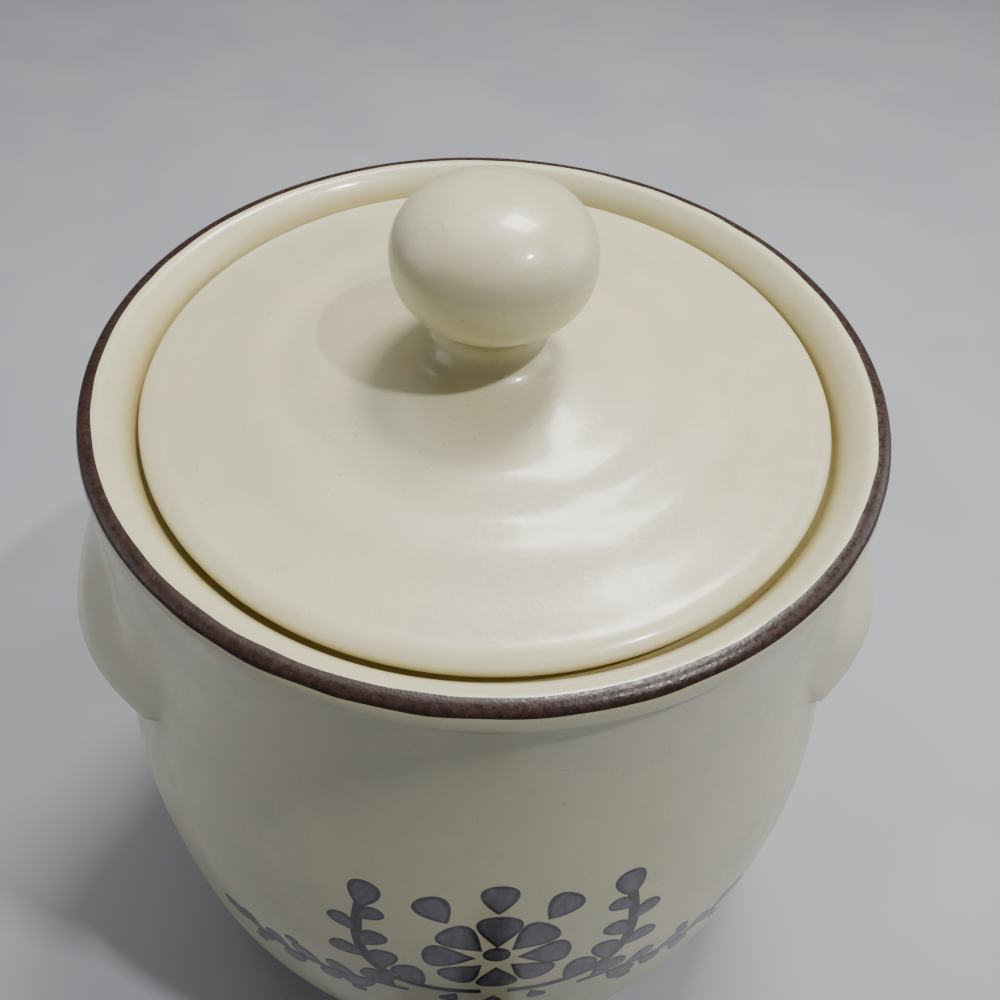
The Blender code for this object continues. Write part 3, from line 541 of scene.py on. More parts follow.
@dataclass(frozen=True)
class CreamGlaze:
    """Satin cream glaze on cast stoneware: soft wide highlights, faint cloudy tints, thicker pools and zones
    of painted shade.
    """

    name: str
    zones: tuple[Zone, ...]
    cream: str = "#DCD5AE"
    cool: str = "#D3D0AB"
    blush: str = "#DFD2AE"
    speck: str = "#B2A47E"
    roughness: float = 0.33
    dry_roughness: float = 0.82
    cloud_size: float = 32 * MM
    blush_size: float = 17 * MM
    speck_size: float = 1.6 * MM
    streak_size: float = 7 * MM
    wander_size: float = 6 * MM
    wander: float = 0.25 * MM
    peel_size: float = 2.6 * MM
    peel_depth: float = 0.035 * MM
    grain_size: float = 0.75 * MM
    grain_depth: float = 0.010 * MM

    def build(self) -> Material:
        """Mix the finish.

        Returns:
            The material.
        """
        recipe = Recipe(self.name, self.cream)
        recipe.lay(self.cool, recipe.grain(self.cloud_size, 3.0))
        recipe.lay(self.blush, recipe.grain(self.blush_size, 4.0, (0.45, 0.75), (0.0, 0.7)))
        recipe.lay(self.speck, recipe.grain(self.speck_size, 1.0, (0.71, 0.78), (0.0, 0.45)))
        rough = recipe.grain(self.streak_size, 5.0, ends=(self.roughness - 0.04, self.roughness + 0.07))
        place = add_node(recipe.tree, "ShaderNodeSeparateXYZ", {0: recipe.place})
        radius = (place[0] * place[0] + place[1] * place[1]).apply("SQRT")
        height = place[2] + recipe.grain(self.wander_size, ends=(-self.wander, self.wander))
        # Each zone lays a tint: glaze pooled or dry, or painted shade in gaps, creases and under the knob.
        for zone in self.zones:
            mask = zone.mask(height, radius)
            recipe.lay(zone.tint, mask)
            if zone.dry:
                rough = rough.apply("MAXIMUM", mask * self.dry_roughness)
        recipe.lumps(self.peel_size, self.peel_depth, 1.5)
        recipe.lumps(self.grain_size, self.grain_depth)
        return recipe.fire({"Roughness": rough, "IOR": 1.52, "Coat Weight": 0.4, "Coat Roughness": 0.11,
                            "Subsurface Weight": 0.04, "Subsurface Radius": (1.0 * MM, 0.8 * MM, 0.5 * MM)})


@dataclass(frozen=True)
class BrownBanding:
    """Iron-brown banding glaze brushed on the rim: glossy, nearly black in shade, with fine crystals."""

    name: str = "iron_brown_banding"
    deep: str = "#32241F"
    thin: str = "#3F2E29"
    crystal: str = "#8E7F79"
    roughness: float = 0.27
    thin_size: float = 2.2 * MM
    crystal_size: float = 0.55 * MM
    crystal_share: float = 0.15
    lump_size: float = 0.7 * MM
    lump_depth: float = 0.03 * MM
    sheen_size: float = 1.2 * MM

    def build(self) -> Material:
        """Mix the finish.

        Returns:
            The material.
        """
        recipe = Recipe(self.name, self.deep)
        recipe.lay(self.thin, recipe.grain(self.thin_size, 4.0))
        crystals = recipe.grain(self.crystal_size, 1.0, (0.66, 0.74), (0.0, self.crystal_share))
        recipe.lay(self.crystal, crystals)
        recipe.lumps(self.lump_size, self.lump_depth)
        rough = recipe.grain(self.sheen_size, 3.0, ends=(self.roughness - 0.05, self.roughness + 0.14))
        return recipe.fire({"Roughness": rough, "IOR": 1.55, "Specular IOR Level": 0.3})


@dataclass(frozen=True)
class SlateStain:
    """Slate-violet underglaze stain painted by brush: thin inside a stroke, dark along its edge."""

    name: str = "slate_underglaze"
    wash: str = "#67626B"
    heavy: str = "#545059"
    outline: str = "#2C2931"
    roughness: float = 0.28
    streak_size: float = 2.4 * MM
    streak_stretch: float = 0.35
    edge_break: float = 1.4 * MM
    lump_size: float = 1.5 * MM
    lump_depth: float = 0.02 * MM

    def build(self) -> Material:
        """Mix the finish.

        Returns:
            The material.
        """
        recipe = Recipe(self.name, self.wash)
        recipe.lay(self.heavy, recipe.grain(self.streak_size, 3.0, stretch=(1.0, 1.0, self.streak_stretch)))
        edge = add_node(recipe.tree, "ShaderNodeAttribute", attribute_name="edge")["Fac"]
        broken = edge * recipe.grain(self.edge_break, ends=(0.55, 1.55))
        recipe.lay(self.outline, add_node(recipe.tree, "ShaderNodeMapRange", {
            "Value": broken, "From Min": 0.1, "From Max": 0.55}))
        recipe.lumps(self.lump_size, self.lump_depth)
        return recipe.fire({"Roughness": self.roughness, "IOR": 1.52, "Coat Weight": 0.25,
                            "Coat Roughness": 0.16})


@dataclass(frozen=True)
class Moulded:
    """Moulded plastic or rubber: one colour with faint flow clouding and a fine skin."""

    name: str
    base: str
    cloudy: str
    roughness: float
    ior: float = 1.5
    skin_size: float = 0.5 * MM
    skin_depth: float = 0.006 * MM
    coat: float = 0.0
    cloud_size: float = 9 * MM
    sheen_size: float = 4 * MM

    def build(self) -> Material:
        """Mix the finish.

        Returns:
            The material.
        """
        recipe = Recipe(self.name, self.base)
        recipe.lay(self.cloudy, recipe.grain(self.cloud_size, 3.0))
        recipe.lumps(self.skin_size, self.skin_depth)
        rough = recipe.grain(self.sheen_size, 4.0, ends=(self.roughness, self.roughness + 0.06))
        return recipe.fire({"Roughness": rough, "IOR": self.ior, "Coat Weight": self.coat,
                            "Coat Roughness": 0.1})


@dataclass(frozen=True)
class Stainless:
    """Drawn or stamped stainless steel: bright, with fine lines from the drawing and a slight waviness."""

    name: str = "drawn_stainless"
    bright: str = "#C9C8C4"
    dull: str = "#A6A5A1"
    least_roughness: float = 0.18
    streak_roughness: float = 0.16
    streak_size: float = 0.4 * MM
    streak_stretch: float = 0.08

    def build(self) -> Material:
        """Mix the finish.

        Returns:
            The material.
        """
        recipe = Recipe(self.name, self.bright)
        streak = recipe.grain(self.streak_size, stretch=(1.0, self.streak_stretch, 1.0))
        recipe.lay(self.dull, streak)
        rough = streak * self.streak_roughness + self.least_roughness
        return recipe.fire({"Roughness": rough, "Metallic": 1.0})


@dataclass(frozen=True)
class PaleFloor:
    """Matt pale studio paper."""

    name: str = "pale_paper"
    tone: str = "#B3B6BC"
    shade: str = "#ACAFB6"
    shade_size: float = 120 * MM
    roughness: float = 0.62

    def build(self) -> Material:
        """Mix the finish.

        Returns:
            The material.
        """
        recipe = Recipe(self.name, self.tone)
        recipe.lay(self.shade, recipe.grain(self.shade_size))
        return recipe.fire({"Roughness": self.roughness})


# The crock


@dataclass
class WallForm:
    """Driving sizes of the crock's wall, its lip and its two lugs."""

    rim_height: float = 255 * MM
    neck_radius: float = 108.8 * MM
    shoulder_drop: float = 22 * MM
    belly_radius: float = 126.4 * MM
    belly_height: float = 110 * MM
    belly_fullness: float = 3.0
    heel_radius: float = 70 * MM
    wall: float = 7.5 * MM
    floor: float = 10 * MM
    floor_fillet: float = 14 * MM
    lug_top: float = 245.8 * MM
    lug_half_angle: float = math.radians(46.0)
    lug_reach: float = 15.3 * MM
    lug_fade_power: float = 1.76
    lug_fade_sharpness: float = 1.73
    lug_edge_drop: float = 74.9 * MM
    lug_end_droop: float = 5 * MM
    lug_straightness: float = 0.4
    lug_tip: float = 4.7 * MM
    lug_tip_share: float = 0.45
    lug_tip_drop: float = 0.3
    lug_under_share: float = 0.12
    lug_end_softness: float = 0.6
    lug_foot: float = 17 * MM
    lug_grip: float = 3.5 * MM
    lug_blend: float = 3.6 * MM
    dish_depth: float = 3.0 * MM
    dish_angle: float = math.radians(20.0)
    dish_half_angle: float = math.radians(11.0)
    dish_place: float = 0.60
    dish_half_length: float = 0.32

    def radius(self, z: float) -> float:
        """Measure the wall outside.

        Args:
            z: The height.

        Returns:
            The outer radius.
        """
        if z <= self.belly_height:
            down = min((self.belly_height - z) / self.belly_height, 1.0)
            share = (1.0 - down ** self.belly_fullness) ** (1.0 / self.belly_fullness)
            return self.heel_radius + (self.belly_radius - self.heel_radius) * share
        top = self.rim_height - self.shoulder_drop
        up = min((z - self.belly_height) / (top - self.belly_height), 1.0)
        swell = 0.5 * (1.0 + math.cos(math.pi * up))
        return self.neck_radius + (self.belly_radius - self.neck_radius) * swell

    def inner_radius(self, z: float) -> float:
        """Measure the wall inside, with the fillet above the floor.

        Args:
            z: The height.

        Returns:
            The inner radius.
        """
        top = self.floor + self.floor_fillet
        if z >= top:
            return self.radius(z) - self.wall
        rise = (top - max(z, self.floor)) / self.floor_fillet
        inward = 1.0 - math.sqrt(max(0.0, 1.0 - rise * rise))
        return self.radius(top) - self.wall - self.floor_fillet * inward

    def dish(self, turn: float, down: float) -> float:
        """Measure the thumb dish of a lug.

        Args:
            turn: Angle from the lug's middle, in radians.
            down: Share of the way down the lug.

        Returns:
            The depth.
        """
        across = (abs(turn) - self.dish_angle) / self.dish_half_angle
        along = (down - self.dish_place) / self.dish_half_length
        return self.dish_depth * max(1.0 - across * across - along * along, 0.0) ** 2

    def lug_section(self, turn: float) -> list[Point]:
        """The wall's outer side through a lug, from under the lip to the lug's foot.

        Args:
            turn: Angle from the lug's middle, in radians.

        Returns:
            Points as (radius, height), the same number at every angle.
        """
        side = min(abs(turn) / self.lug_half_angle, 1.0)
        fade = 0.5 + 0.5 * math.cos(math.pi * side ** self.lug_fade_power)
        reach = self.lug_reach * fade ** self.lug_fade_sharpness
        edge = self.rim_height - self.lug_edge_drop - self.lug_end_droop * smoothstep(0.0, 1.0, side)
        points = []
        for down in spread(0.0, 1.0, 22):
            z = self.lug_top + (edge - self.lug_top) * down
            ease = self.lug_straightness * down + (1.0 - self.lug_straightness) * smoothstep(0.0, 1.0, down)
            points.append((self.radius(z) + reach * ease - self.dish(turn, down), z))
        tip = min(self.lug_tip, self.lug_tip_share * reach)
        tip_centre = (self.radius(edge) + reach - tip, edge - self.lug_tip_drop * tip)
        points += arc(tip_centre, tip, 0.0, -100.0, 9)
        foot = edge - self.lug_foot
        soft = self.lug_under_share + self.lug_end_softness * (1.0 - reach / self.lug_reach) ** 2
        under = (self.radius(edge) + soft * reach, points[-1][1] + self.lug_grip * reach / self.lug_reach)
        points += bend(points[-1], under, (self.radius(foot), foot), 12)
        plain = [(self.radius(z), z) for z in spread(self.lug_top, foot, len(points) - 1)]
        share = smoothstep(0.0, self.lug_blend, reach)
        return [(a[0] + (b[0] - a[0]) * share, a[1] + (b[1] - a[1]) * share) for a, b in zip(plain, points)]


@dataclass
class Rim:
    """The lid's gallery and the rounded rim, as (radius, height over the rim's band edge) in millimetres."""

    inside: Corners = ((101.3, -33.0), (98.0, -27.5), (94.0, -22.5), (90.0, -18.2), (88.4, -16.6))
    ledge: Corners = ((88.0, -15.6), (88.0, -12.4), (88.4, -11.2), (89.3, -10.6), (90.5, -10.5))
    gallery: Corners = ((95.6, -10.5), (96.8, -10.2), (97.4, -9.4), (97.7, -8.2))
    funnel: Corners = ((98.4, -6.4), (99.8, -3.9), (101.5, -1.6), (103.2, 0.1))
    crest: Corners = ((104.3, 0.85), (105.3, 1.15), (106.2, 1.2))
    band: Corners = ((107.3, 1.12), (108.3, 0.85), (109.2, 0.45), (109.8, -0.05), (110.2, -0.7))
    lip: Corners = ((110.55, -1.6), (110.8, -2.9), (110.8, -4.4), (110.75, -5.6), (110.5, -6.4),
                    (110.1, -6.95), (109.5, -7.3), (109.0, -7.6), (108.8, -8.1))

    def points(self, rim_height: float, *runs: Corners) -> list[Point]:
        """Runs of the outline, in metres over the base."""
        return [(r * MM, rim_height + z * MM) for run in runs for r, z in run]


@dataclass
class Crock:
    """The stoneware vessel: wall with lugs, the tap's boss and land, and the brown band round the rim."""

    form: WallForm = field(default_factory=WallForm)
    rim: Rim = field(default_factory=Rim)
    columns: int = 288
    patch_half: int = 13
    tap_height: float = 46 * MM
    washer_gap: float = 0.3 * MM
    boss_radius: float = 21 * MM
    boss_edge: float = 1.1 * MM
    boss_side: float = 5.0
    boss_fillet: float = 3.5 * MM
    boss_fillet_start: float = 1.5 * MM
    land_radius: float = 20.5 * MM
    land_blend: Point = (-0.2 * MM, 1.8 * MM)
    hole_radius: float = 11.2 * MM
    hole_lip: float = 0.5 * MM
    gallery_foot: float = 217 * MM
    foot_inset: float = 2.4 * MM
    foot_round: float = 1.5 * MM
    floor_shares: tuple[float, ...] = (0.25, 0.5, 0.75, 0.92)
    heel_heights: tuple[float, ...] = (7.4 * MM, 5.8 * MM, 4.6 * MM, 4.0 * MM)
    base_shares: tuple[float, ...] = (0.97, 0.9, 0.6, 0.3)
    outer_patch: Point = (9 * MM, 83 * MM)
    inner_patch: Point = (17.5 * MM, 83 * MM)
    outer_rings: tuple[float, ...] = (1.42, 1.3, 1.2, 1.13, 1.085, 1.05, 1.025, 1.005, 0.992, 0.978, 0.96,
                                      0.9, 0.72)
    inner_rings: tuple[float, ...] = (1.1, 1.06, 1.03, 1.0, 0.98, 0.965, 0.9, 0.72)
    band_lift: float = 0.14 * MM
    band_end_lift: float = 0.02 * MM
    band_sink: float = 0.25 * MM
    band_wander: float = 0.35 * MM
    band_ripple: float = 9.0

    @cached_property
    def boss_face(self) -> float:
        """How far out the boss's flat face lies, just short of the outer washer."""
        return -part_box("outer_washer")[1].y - self.washer_gap

    @cached_property
    def land_face(self) -> float:
        """How far out the inner wall's flat land lies, just past the inner washer."""
        return -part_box("inner_washer")[0].y + self.washer_gap

    def outer_depth(self, x: float, z: float) -> float:
        """Measure how far out the front of the outer wall with its boss lies.

        Args:
            x: Place across, seen from the front.
            z: The height.

        Returns:
            The distance from the axis.
        """
        wall = math.sqrt(max(self.form.radius(z) ** 2 - x * x, 0.0))
        over = math.hypot(x, z - self.tap_height) - (self.boss_radius - self.boss_edge)
        if over <= 0.0:
            boss = self.boss_face
        elif over < self.boss_edge:
            boss = self.boss_face - self.boss_edge + math.sqrt(self.boss_edge ** 2 - over ** 2)
        else:
            boss = self.boss_face - self.boss_edge - (over - self.boss_edge) * self.boss_side
        gap = max(self.boss_fillet - abs(wall - boss), 0.0) / self.boss_fillet
        fillet = self.boss_fillet * gap ** 3 / 6.0 * smoothstep(0.0, self.boss_fillet_start, over)
        return max(wall, boss) + fillet

    def inner_depth(self, x: float, z: float) -> float:
        """Measure how far out the inner wall with its flat land for the washer lies.

        Args:
            x: Place across, seen from the front.
            z: The height.

        Returns:
            The distance from the axis.
        """
        wall = math.sqrt(max(self.form.inner_radius(z) ** 2 - x * x, 0.0))
        away = math.hypot(x, z - self.tap_height) - self.land_radius
        return self.land_face + (wall - self.land_face) * smoothstep(*self.land_blend, away)

    def column(self, angle: float) -> list[Point]:
        """Draw the wall's whole outline, from the floor's middle to the base's.

        Args:
            angle: Angle round the axis, in radians.

        Returns:
            Points as (radius, height), the same number at every angle.
        """
        form, rim = self.form, self.rim
        inside = [form.floor + form.floor_fillet * (1.0 - math.cos(math.radians(a)))
                  for a in spread(0.0, 50.0, 5)]
        inside += spread(*self.inner_patch, 2 * self.patch_half)
        inside += spread(self.inner_patch[1], self.gallery_foot, 30)[1:]
        rows = [(form.inner_radius(form.floor) * share, form.floor) for share in self.floor_shares]
        rows += [(form.inner_radius(z), z) for z in inside]
        rows += rim.points(form.rim_height, rim.inside, rim.ledge, rim.gallery, rim.funnel, rim.crest,
                           rim.band, rim.lip)
        lug = form.lug_section(math.remainder(angle, math.pi))
        rows.append((form.neck_radius, 0.5 * (rows[-1][1] + lug[0][1])))
        rows += lug
        outside = spread(lug[-1][1], self.outer_patch[1], 22)[1:-1]
        outside += spread(*reversed(self.outer_patch), 2 * self.patch_half)
        rows += [(form.radius(z), z) for z in (*outside, *self.heel_heights)]
        foot = form.radius(self.heel_heights[-1]) - self.foot_inset
        rows += arc((foot, self.foot_round), self.foot_round, 20.0, -90.0, 6)
        return rows + [(foot * share, 0.0) for share in self.base_shares]

    def wall(self) -> Piece:
        """Build the vessel as one closed surface with the tap's hole through it.

        Returns:
            The vessel.
        """
        verts: list[Vector] = []
        angles = [math.tau * i / self.columns for i in range(self.columns)]
        outlines = [self.column(angle) for angle in angles]
        rows = [add_ring(verts, [polar(r, angle, z) for angle, (r, z) in zip(angles, level)])
                for level in zip(*outlines)]
        front = 3 * self.columns // 4
        heights = [z for _, z in outlines[front]]
        starts = (heights.index(self.inner_patch[0]), heights.index(self.outer_patch[1], len(rows) // 2))
        left = front - self.patch_half
        steps = 2 * self.patch_half
        holes = {(start + j, left + i) for start in starts for j in range(steps) for i in range(steps)}
        faces = skin(rows, holes)
        for row, z in ((rows[0], self.form.floor), (rows[-1], 0.0)):
            faces += skin([row, add_ring(verts, [polar(0.0, 0.0, z)]) * self.columns])
        grids = [[row[left:left + steps + 1] for row in rows[start:start + steps + 1]] for start in starts]
        inner = self.patch(verts, faces, grids[0], self.inner_rings, self.inner_depth)
        outer = self.patch(verts, faces, grids[1], self.outer_rings, self.outer_depth)
        middle = [add_ring(verts, [verts[a].lerp(verts[b], share) for a, b in zip(outer, inner)])
                  for share in (0.33, 0.67)]
        faces += skin([outer, *middle, inner])
        return piece_from("crock_wall", verts, faces, 50.0)

    def patch(self, verts: list[Vector], faces: Faces, grid: list[list[int]], rings: Sequence[float],
              depth: Callable[[float, float], float]) -> list[int]:
        """Fill a square gap of the wall with rings that close in on the tap's hole.

        Args:
            verts: All vertices so far, which this adds to.
            faces: All faces so far, which this adds to.
            grid: Vertex numbers in and round the gap.
            rings: Radii of the rings as shares of the boss's.
            depth: The surface's distance out at an (x, z) place.

        Returns:
            The vertex numbers of the ring at the hole.
        """
        loop = grid[0][:-1] + [row[-1] for row in grid[:-1]]
        loop += grid[-1][:0:-1] + [row[0] for row in grid[:0:-1]]
        way = -1.0 if verts[grid[0][0]].z > verts[grid[-1][0]].z else 1.0
        start = math.radians(180.0 + 45.0 * way)
        circle = [start + way * math.tau * n / len(loop) for n in range(len(loop))]
        radii = [share * self.boss_radius for share in rings]
        radii += [self.hole_radius + self.hole_lip, self.hole_radius]
        previous = loop
        for radius, share in [(radii[0], 0.35), (radii[0], 0.7)] + [(r, 1.0) for r in radii]:
            ring = []
            for home, turn in zip((verts[n] for n in loop), circle):
                x = home.x + (radius * math.cos(turn) - home.x) * share
                z = home.z + (self.tap_height + radius * math.sin(turn) - home.z) * share
                ring.append(Vector((x, -depth(x, z), z)))
            numbers = add_ring(verts, ring)
            faces += skin([previous, numbers])
            previous = numbers
        return previous

    def band(self) -> Piece:
        """Build the brown band as a thin coat over the rim, with the slightly uneven edges of a brush.

        Returns:
            The band.
        """
        top = self.rim.points(self.form.rim_height, self.rim.crest, self.rim.band)[2:]
        last = len(top) - 1
        verts: list[Vector] = []
        rows = []
        for j, outside in [(j, True) for j in range(last + 1)] + [(j, False) for j in range(last, -1, -1)]:
            (r, z), a, b = top[j], top[max(j - 1, 0)], top[min(j + 1, last)]
            length = math.dist(a, b)
            along = ((b[0] - a[0]) / length, (b[1] - a[1]) / length)
            end = j in (0, last)
            lift = (self.band_end_lift if end else self.band_lift) if outside else -self.band_sink
            ring = []
            for i in range(2 * self.columns):
                angle = math.pi * i / self.columns
                spot = polar(self.band_ripple, angle, 3.0 + j / last * 4.0)
                slide = end * self.band_wander * noise.noise(spot)
                ring.append(polar(r - along[1] * lift + along[0] * slide, angle,
                                  z + along[0] * lift + along[1] * slide))
            rows.append(add_ring(verts, ring))
        return piece_from("rim_band", verts, skin(rows + rows[:1]), 50.0)

    def dress(self) -> None:
        """Build the vessel's pieces and give them their finishes."""
        rim = self.form.rim_height
        # Yellow glaze pooled on the funnel and down in the gallery, also tinted darker as painted shade for
        # the shade that falls there.
        run = Zone("#CDBF8B", rim, (-18.0, -5.4), (92.0, 104.0), 4.0)
        # Painted shade: a darker olive tint deep in the gallery, in the gap round the lid.
        lid_gap_shade = Zone("#AB9C68", rim, (-18.0, -9.2), (92.0, 104.0), 4.5)
        # Painted shade: a darker tint in the crease under the lip's roll.
        lip_crease_shade = Zone("#C5B88A", rim, (-8.9, -7.9), (107.0, 109.6), 1.0)
        dry_foot = Zone("#D9CBB0", 0.0, (-5.0, 1.6), (0.0, 130.0), 0.6, dry=True)
        glaze = CreamGlaze("cream_stoneware_glaze", (run, lid_gap_shade, lip_crease_shade, dry_foot)).build()
        finish_piece(self.wall(), Body.CROCK, glaze, "cream_glaze", "crock")
        finish_piece(self.band(), Body.CROCK, BrownBanding().build(), "cream_glaze")


# The lid


@dataclass
class Lid:
    """The recessed lid, fired in one with its bun-shaped knob."""

    rim_height: float = 255 * MM
    radius: float = 96.2 * MM
    bottom: float = 244.8 * MM
    edge: float = 6.6 * MM
    roll: float = 3.1 * MM
    roll_width: float = 6.5 * MM
    thickness: float = 7.0 * MM
    rise: float = 11.8 * MM
    rise_power: float = 1.08
    ring_wave: float = 0.45 * MM
    ring_middle: float = 57 * MM
    ring_pitch: float = 23 * MM
    ring_reach: float = 1.25
    seat_width: float = 10 * MM
    seat_slope: float = 3 * MM
    hollow_rise: float = 4 * MM
    hollow_radii: Point = (10 * MM, 6 * MM)
    knob_height: float = 35.5 * MM
    knob_radius: float = 26.7 * MM
    knob_half_height: float = 18.4 * MM
    knob_squareness: float = 2.25
    knob_neck: float = 14.0 * MM
    knob_fillet: float = 8.5 * MM
    knob_fillet_height: float = 6.4 * MM
    segments: int = 240

    def top(self, radius: float) -> float:
        """Measure the lid's upper side outside the knob's fillet.

        Args:
            radius: Distance from the axis.

        Returns:
            The height.
        """
        edge = self.radius - self.roll_width
        share = (edge - radius) / (edge - self.knob_neck)
        ring = math.cos(math.tau * (radius - self.ring_middle) / self.ring_pitch)
        window = max(0.0, 1.0 - abs(radius - self.ring_middle) / (self.ring_reach * self.ring_pitch))
        return self.bottom + self.edge + self.rise * share ** self.rise_power - self.ring_wave * ring * window

    def outline(self) -> list[Point]:
        """Draw the lid's outline from the knob's top down, round the edge and under to the middle.

        Returns:
            Points as (radius, height).
        """
        middle = self.rim_height + self.knob_height
        power = 2.0 / self.knob_squareness
        points = [(0.0, middle + self.knob_half_height)]
        for c, s in arc((0.0, 0.0), 1.0, 90.0, -52.0, 40)[1:]:
            height = math.copysign(abs(s) ** power, s) * self.knob_half_height
            points.append((c ** power * self.knob_radius, middle + height))
        last = points[-1]
        skirt = self.knob_neck + self.knob_fillet
        neck_z = self.top(skirt) + self.knob_fillet_height
        points += bend(last, (self.knob_neck, last[1]), (self.knob_neck, 0.5 * (last[1] + neck_z)), 10)
        points += bend(points[-1], (self.knob_neck, self.top(self.knob_neck)), (skirt, self.top(skirt)), 14)
        edge = self.radius - self.roll_width
        level = self.bottom + self.edge - self.roll
        points += [(r, self.top(r)) for r in spread(skirt, edge, 56)[1:]]
        points += [(edge + self.roll_width * c, level + self.roll * s)
                   for c, s in arc((0.0, 0.0), 1.0, 84.0, 6.0, 12)]
        points += arc((self.radius - self.roll, level), self.roll, 0.0, -55.0, 6)
        inner = self.radius - self.seat_width
        points += [(self.radius - self.roll, self.bottom), (inner, self.bottom)]
        points += [(r, max(self.bottom, self.top(r) - self.thickness))
                   for r in spread(inner - self.seat_slope, skirt, 20)]
        foot, tip = self.hollow_radii
        hollow = points[-1][1] + self.hollow_rise
        return points + [(foot, points[-1][1]), (tip, hollow), (0.0, hollow)]

    def dress(self) -> None:
        """Build the lid and glaze it."""
        # Painted shade: a darker tint on the knob's underside and the top of its neck.
        knob_underside_shade = Zone("#C8B989", self.rim_height, (16.5, 20.5), (10.0, 22.0), 1.4)
        # Painted shade: a darker tint round the lid's rolled edge and under it, where it sits down in the
        # gap.
        edge = Zone("#C8B989", self.bottom, (-2.0, 1.4), (90.0, 100.0), 1.5)
        dry_seat = Zone("#D9CBB0", self.bottom, (-1.0, 0.3), (80.0, 93.0), 0.5, dry=True)
        glaze = CreamGlaze("cream_lid_glaze", (knob_underside_shade, edge, dry_seat)).build()
        lid = lathe("lid_with_knob", self.outline(), self.segments, Matrix.Identity(4), 60.0)
        finish_piece(lid, Body.LID, glaze, "cream_glaze", "lid")


# The painted garland


def brush_strokes(given: Term) -> Term:
    """Lay brush strokes along a flat path, each a drop with its tail at the path and a round head.

    Args:
        given: The node that gives the tree's inputs.

    Returns:
        The strokes.
    """
    tree, length = given.tree, given["Length"]
    grid = add_node(tree, "GeometryNodeMeshGrid", {
        "Size X": 1.0, "Size Y": 1.0, "Vertices X": 17, "Vertices Y": 11})
    spot = add_node(tree, "ShaderNodeSeparateXYZ", {0: add_node(tree, "GeometryNodeInputPosition")})
    along = 0.5 - ((spot[0] + 0.5) * math.pi).apply("COSINE") * 0.5
    across = spot[1] * 2.0
    inward = (1.0 - abs(across)).apply("MAXIMUM", 0.0)
    side = across.apply("SIGN") * (1.0 - inward ** 1.5)
    full = along ** given["Fullness"]
    half = (full * (1.0 - full)).apply("MAXIMUM", 0.0).apply("SQRT") * 2.0 * given["Half Width"]
    ends = along.apply("MINIMUM", 1.0 - along) * length
    brim = ((1.0 - abs(side)) * half).apply("MINIMUM", ends)
    edge = add_node(tree, "ShaderNodeMapRange", {
        "Value": brim, "From Min": 0.0, "From Max": given["Outline"], "To Min": 1.0, "To Max": 0.0})
    marked = add_node(tree, "GeometryNodeStoreNamedAttribute", {
        "Geometry": grid, "Name": "edge", "Value": edge})
    place = add_node(tree, "ShaderNodeCombineXYZ", {
        0: given["Off Path"] + along * length, 1: side * half + given["Curl"] * length * along ** 2.0})
    stroke = add_node(tree, "GeometryNodeSetPosition", {"Geometry": marked, "Position": place})
    clean = add_node(tree, "GeometryNodeMergeByDistance", {"Geometry": stroke, "Distance": 0.01 * MM})

    line = add_node(tree, "GeometryNodeMeshToCurve", {0: given["Geometry"]})
    spots = add_node(tree, "GeometryNodeCurveToPoints", {"Curve": line, "Count": given["Count"]},
                     mode="COUNT")
    index = add_node(tree, "GeometryNodeInputIndex")
    way = 1.0 - index.apply("MODULO", 2.0) * 2.0 * given["Both Sides"]
    chance = add_node(tree, "FunctionNodeRandomValue", {
        "Min": -1.0, "Max": 1.0, "ID": index, "Seed": given["Seed"]}, data_type="FLOAT")
    drift = chance[1] * given["Unevenness"]
    heading = add_node(tree, "ShaderNodeSeparateXYZ", {0: spots["Tangent"]})
    angle = heading[1].apply("ARCTAN2", heading[0]) + way * given["Lean"] + drift
    share = index / (given["Count"] - 1.0).apply("MAXIMUM", 1.0)
    size = (1.0 + (given["Last Size"] - 1.0) * share) * (1.0 - drift)
    scale = add_node(tree, "ShaderNodeCombineXYZ", {0: size, 1: size * way, 2: 1.0})
    turned = add_node(tree, "FunctionNodeEulerToRotation", {
        0: add_node(tree, "ShaderNodeCombineXYZ", {2: angle})})
    return add_node(tree, "GeometryNodeInstanceOnPoints", {
        "Points": spots, "Instance": clean, "Rotation": turned, "Scale": scale})


def brush_stem(given: Term) -> Term:
    """Paint a flat stem along a path, thinner towards its end.

    Args:
        given: The node that gives the tree's inputs.

    Returns:
        The stem.
    """
    tree = given.tree
    line = add_node(tree, "GeometryNodeMeshToCurve", {0: given["Geometry"]})
    along = add_node(tree, "GeometryNodeSplineParameter")["Factor"]
    taper = add_node(tree, "ShaderNodeMapRange", {
        "Value": along, "To Min": 1.0, "To Max": given["End Share"]})
    start = add_node(tree, "ShaderNodeMapRange", {"Value": along, "From Max": given["Start"], "To Min": 0.1},
                     interpolation_type="SMOOTHSTEP")
    tapered = add_node(tree, "GeometryNodeSetCurveRadius", {"Curve": line, "Radius": taper * start})
    upright = add_node(tree, "GeometryNodeSetCurveNormal", {0: tapered}, mode="Z_UP")
    low, high = (add_node(tree, "ShaderNodeCombineXYZ", {0: given["Half Width"] * side})
                 for side in (-1.0, 1.0))
    brush = add_node(tree, "GeometryNodeCurvePrimitiveLine", {"Start": low, "End": high})
    ribbon = add_node(tree, "GeometryNodeCurveToMesh", {"Curve": upright, "Profile Curve": brush})
    return add_node(tree, "GeometryNodeStoreNamedAttribute", {
        "Geometry": ribbon, "Name": "edge", "Value": given["Edge"]})


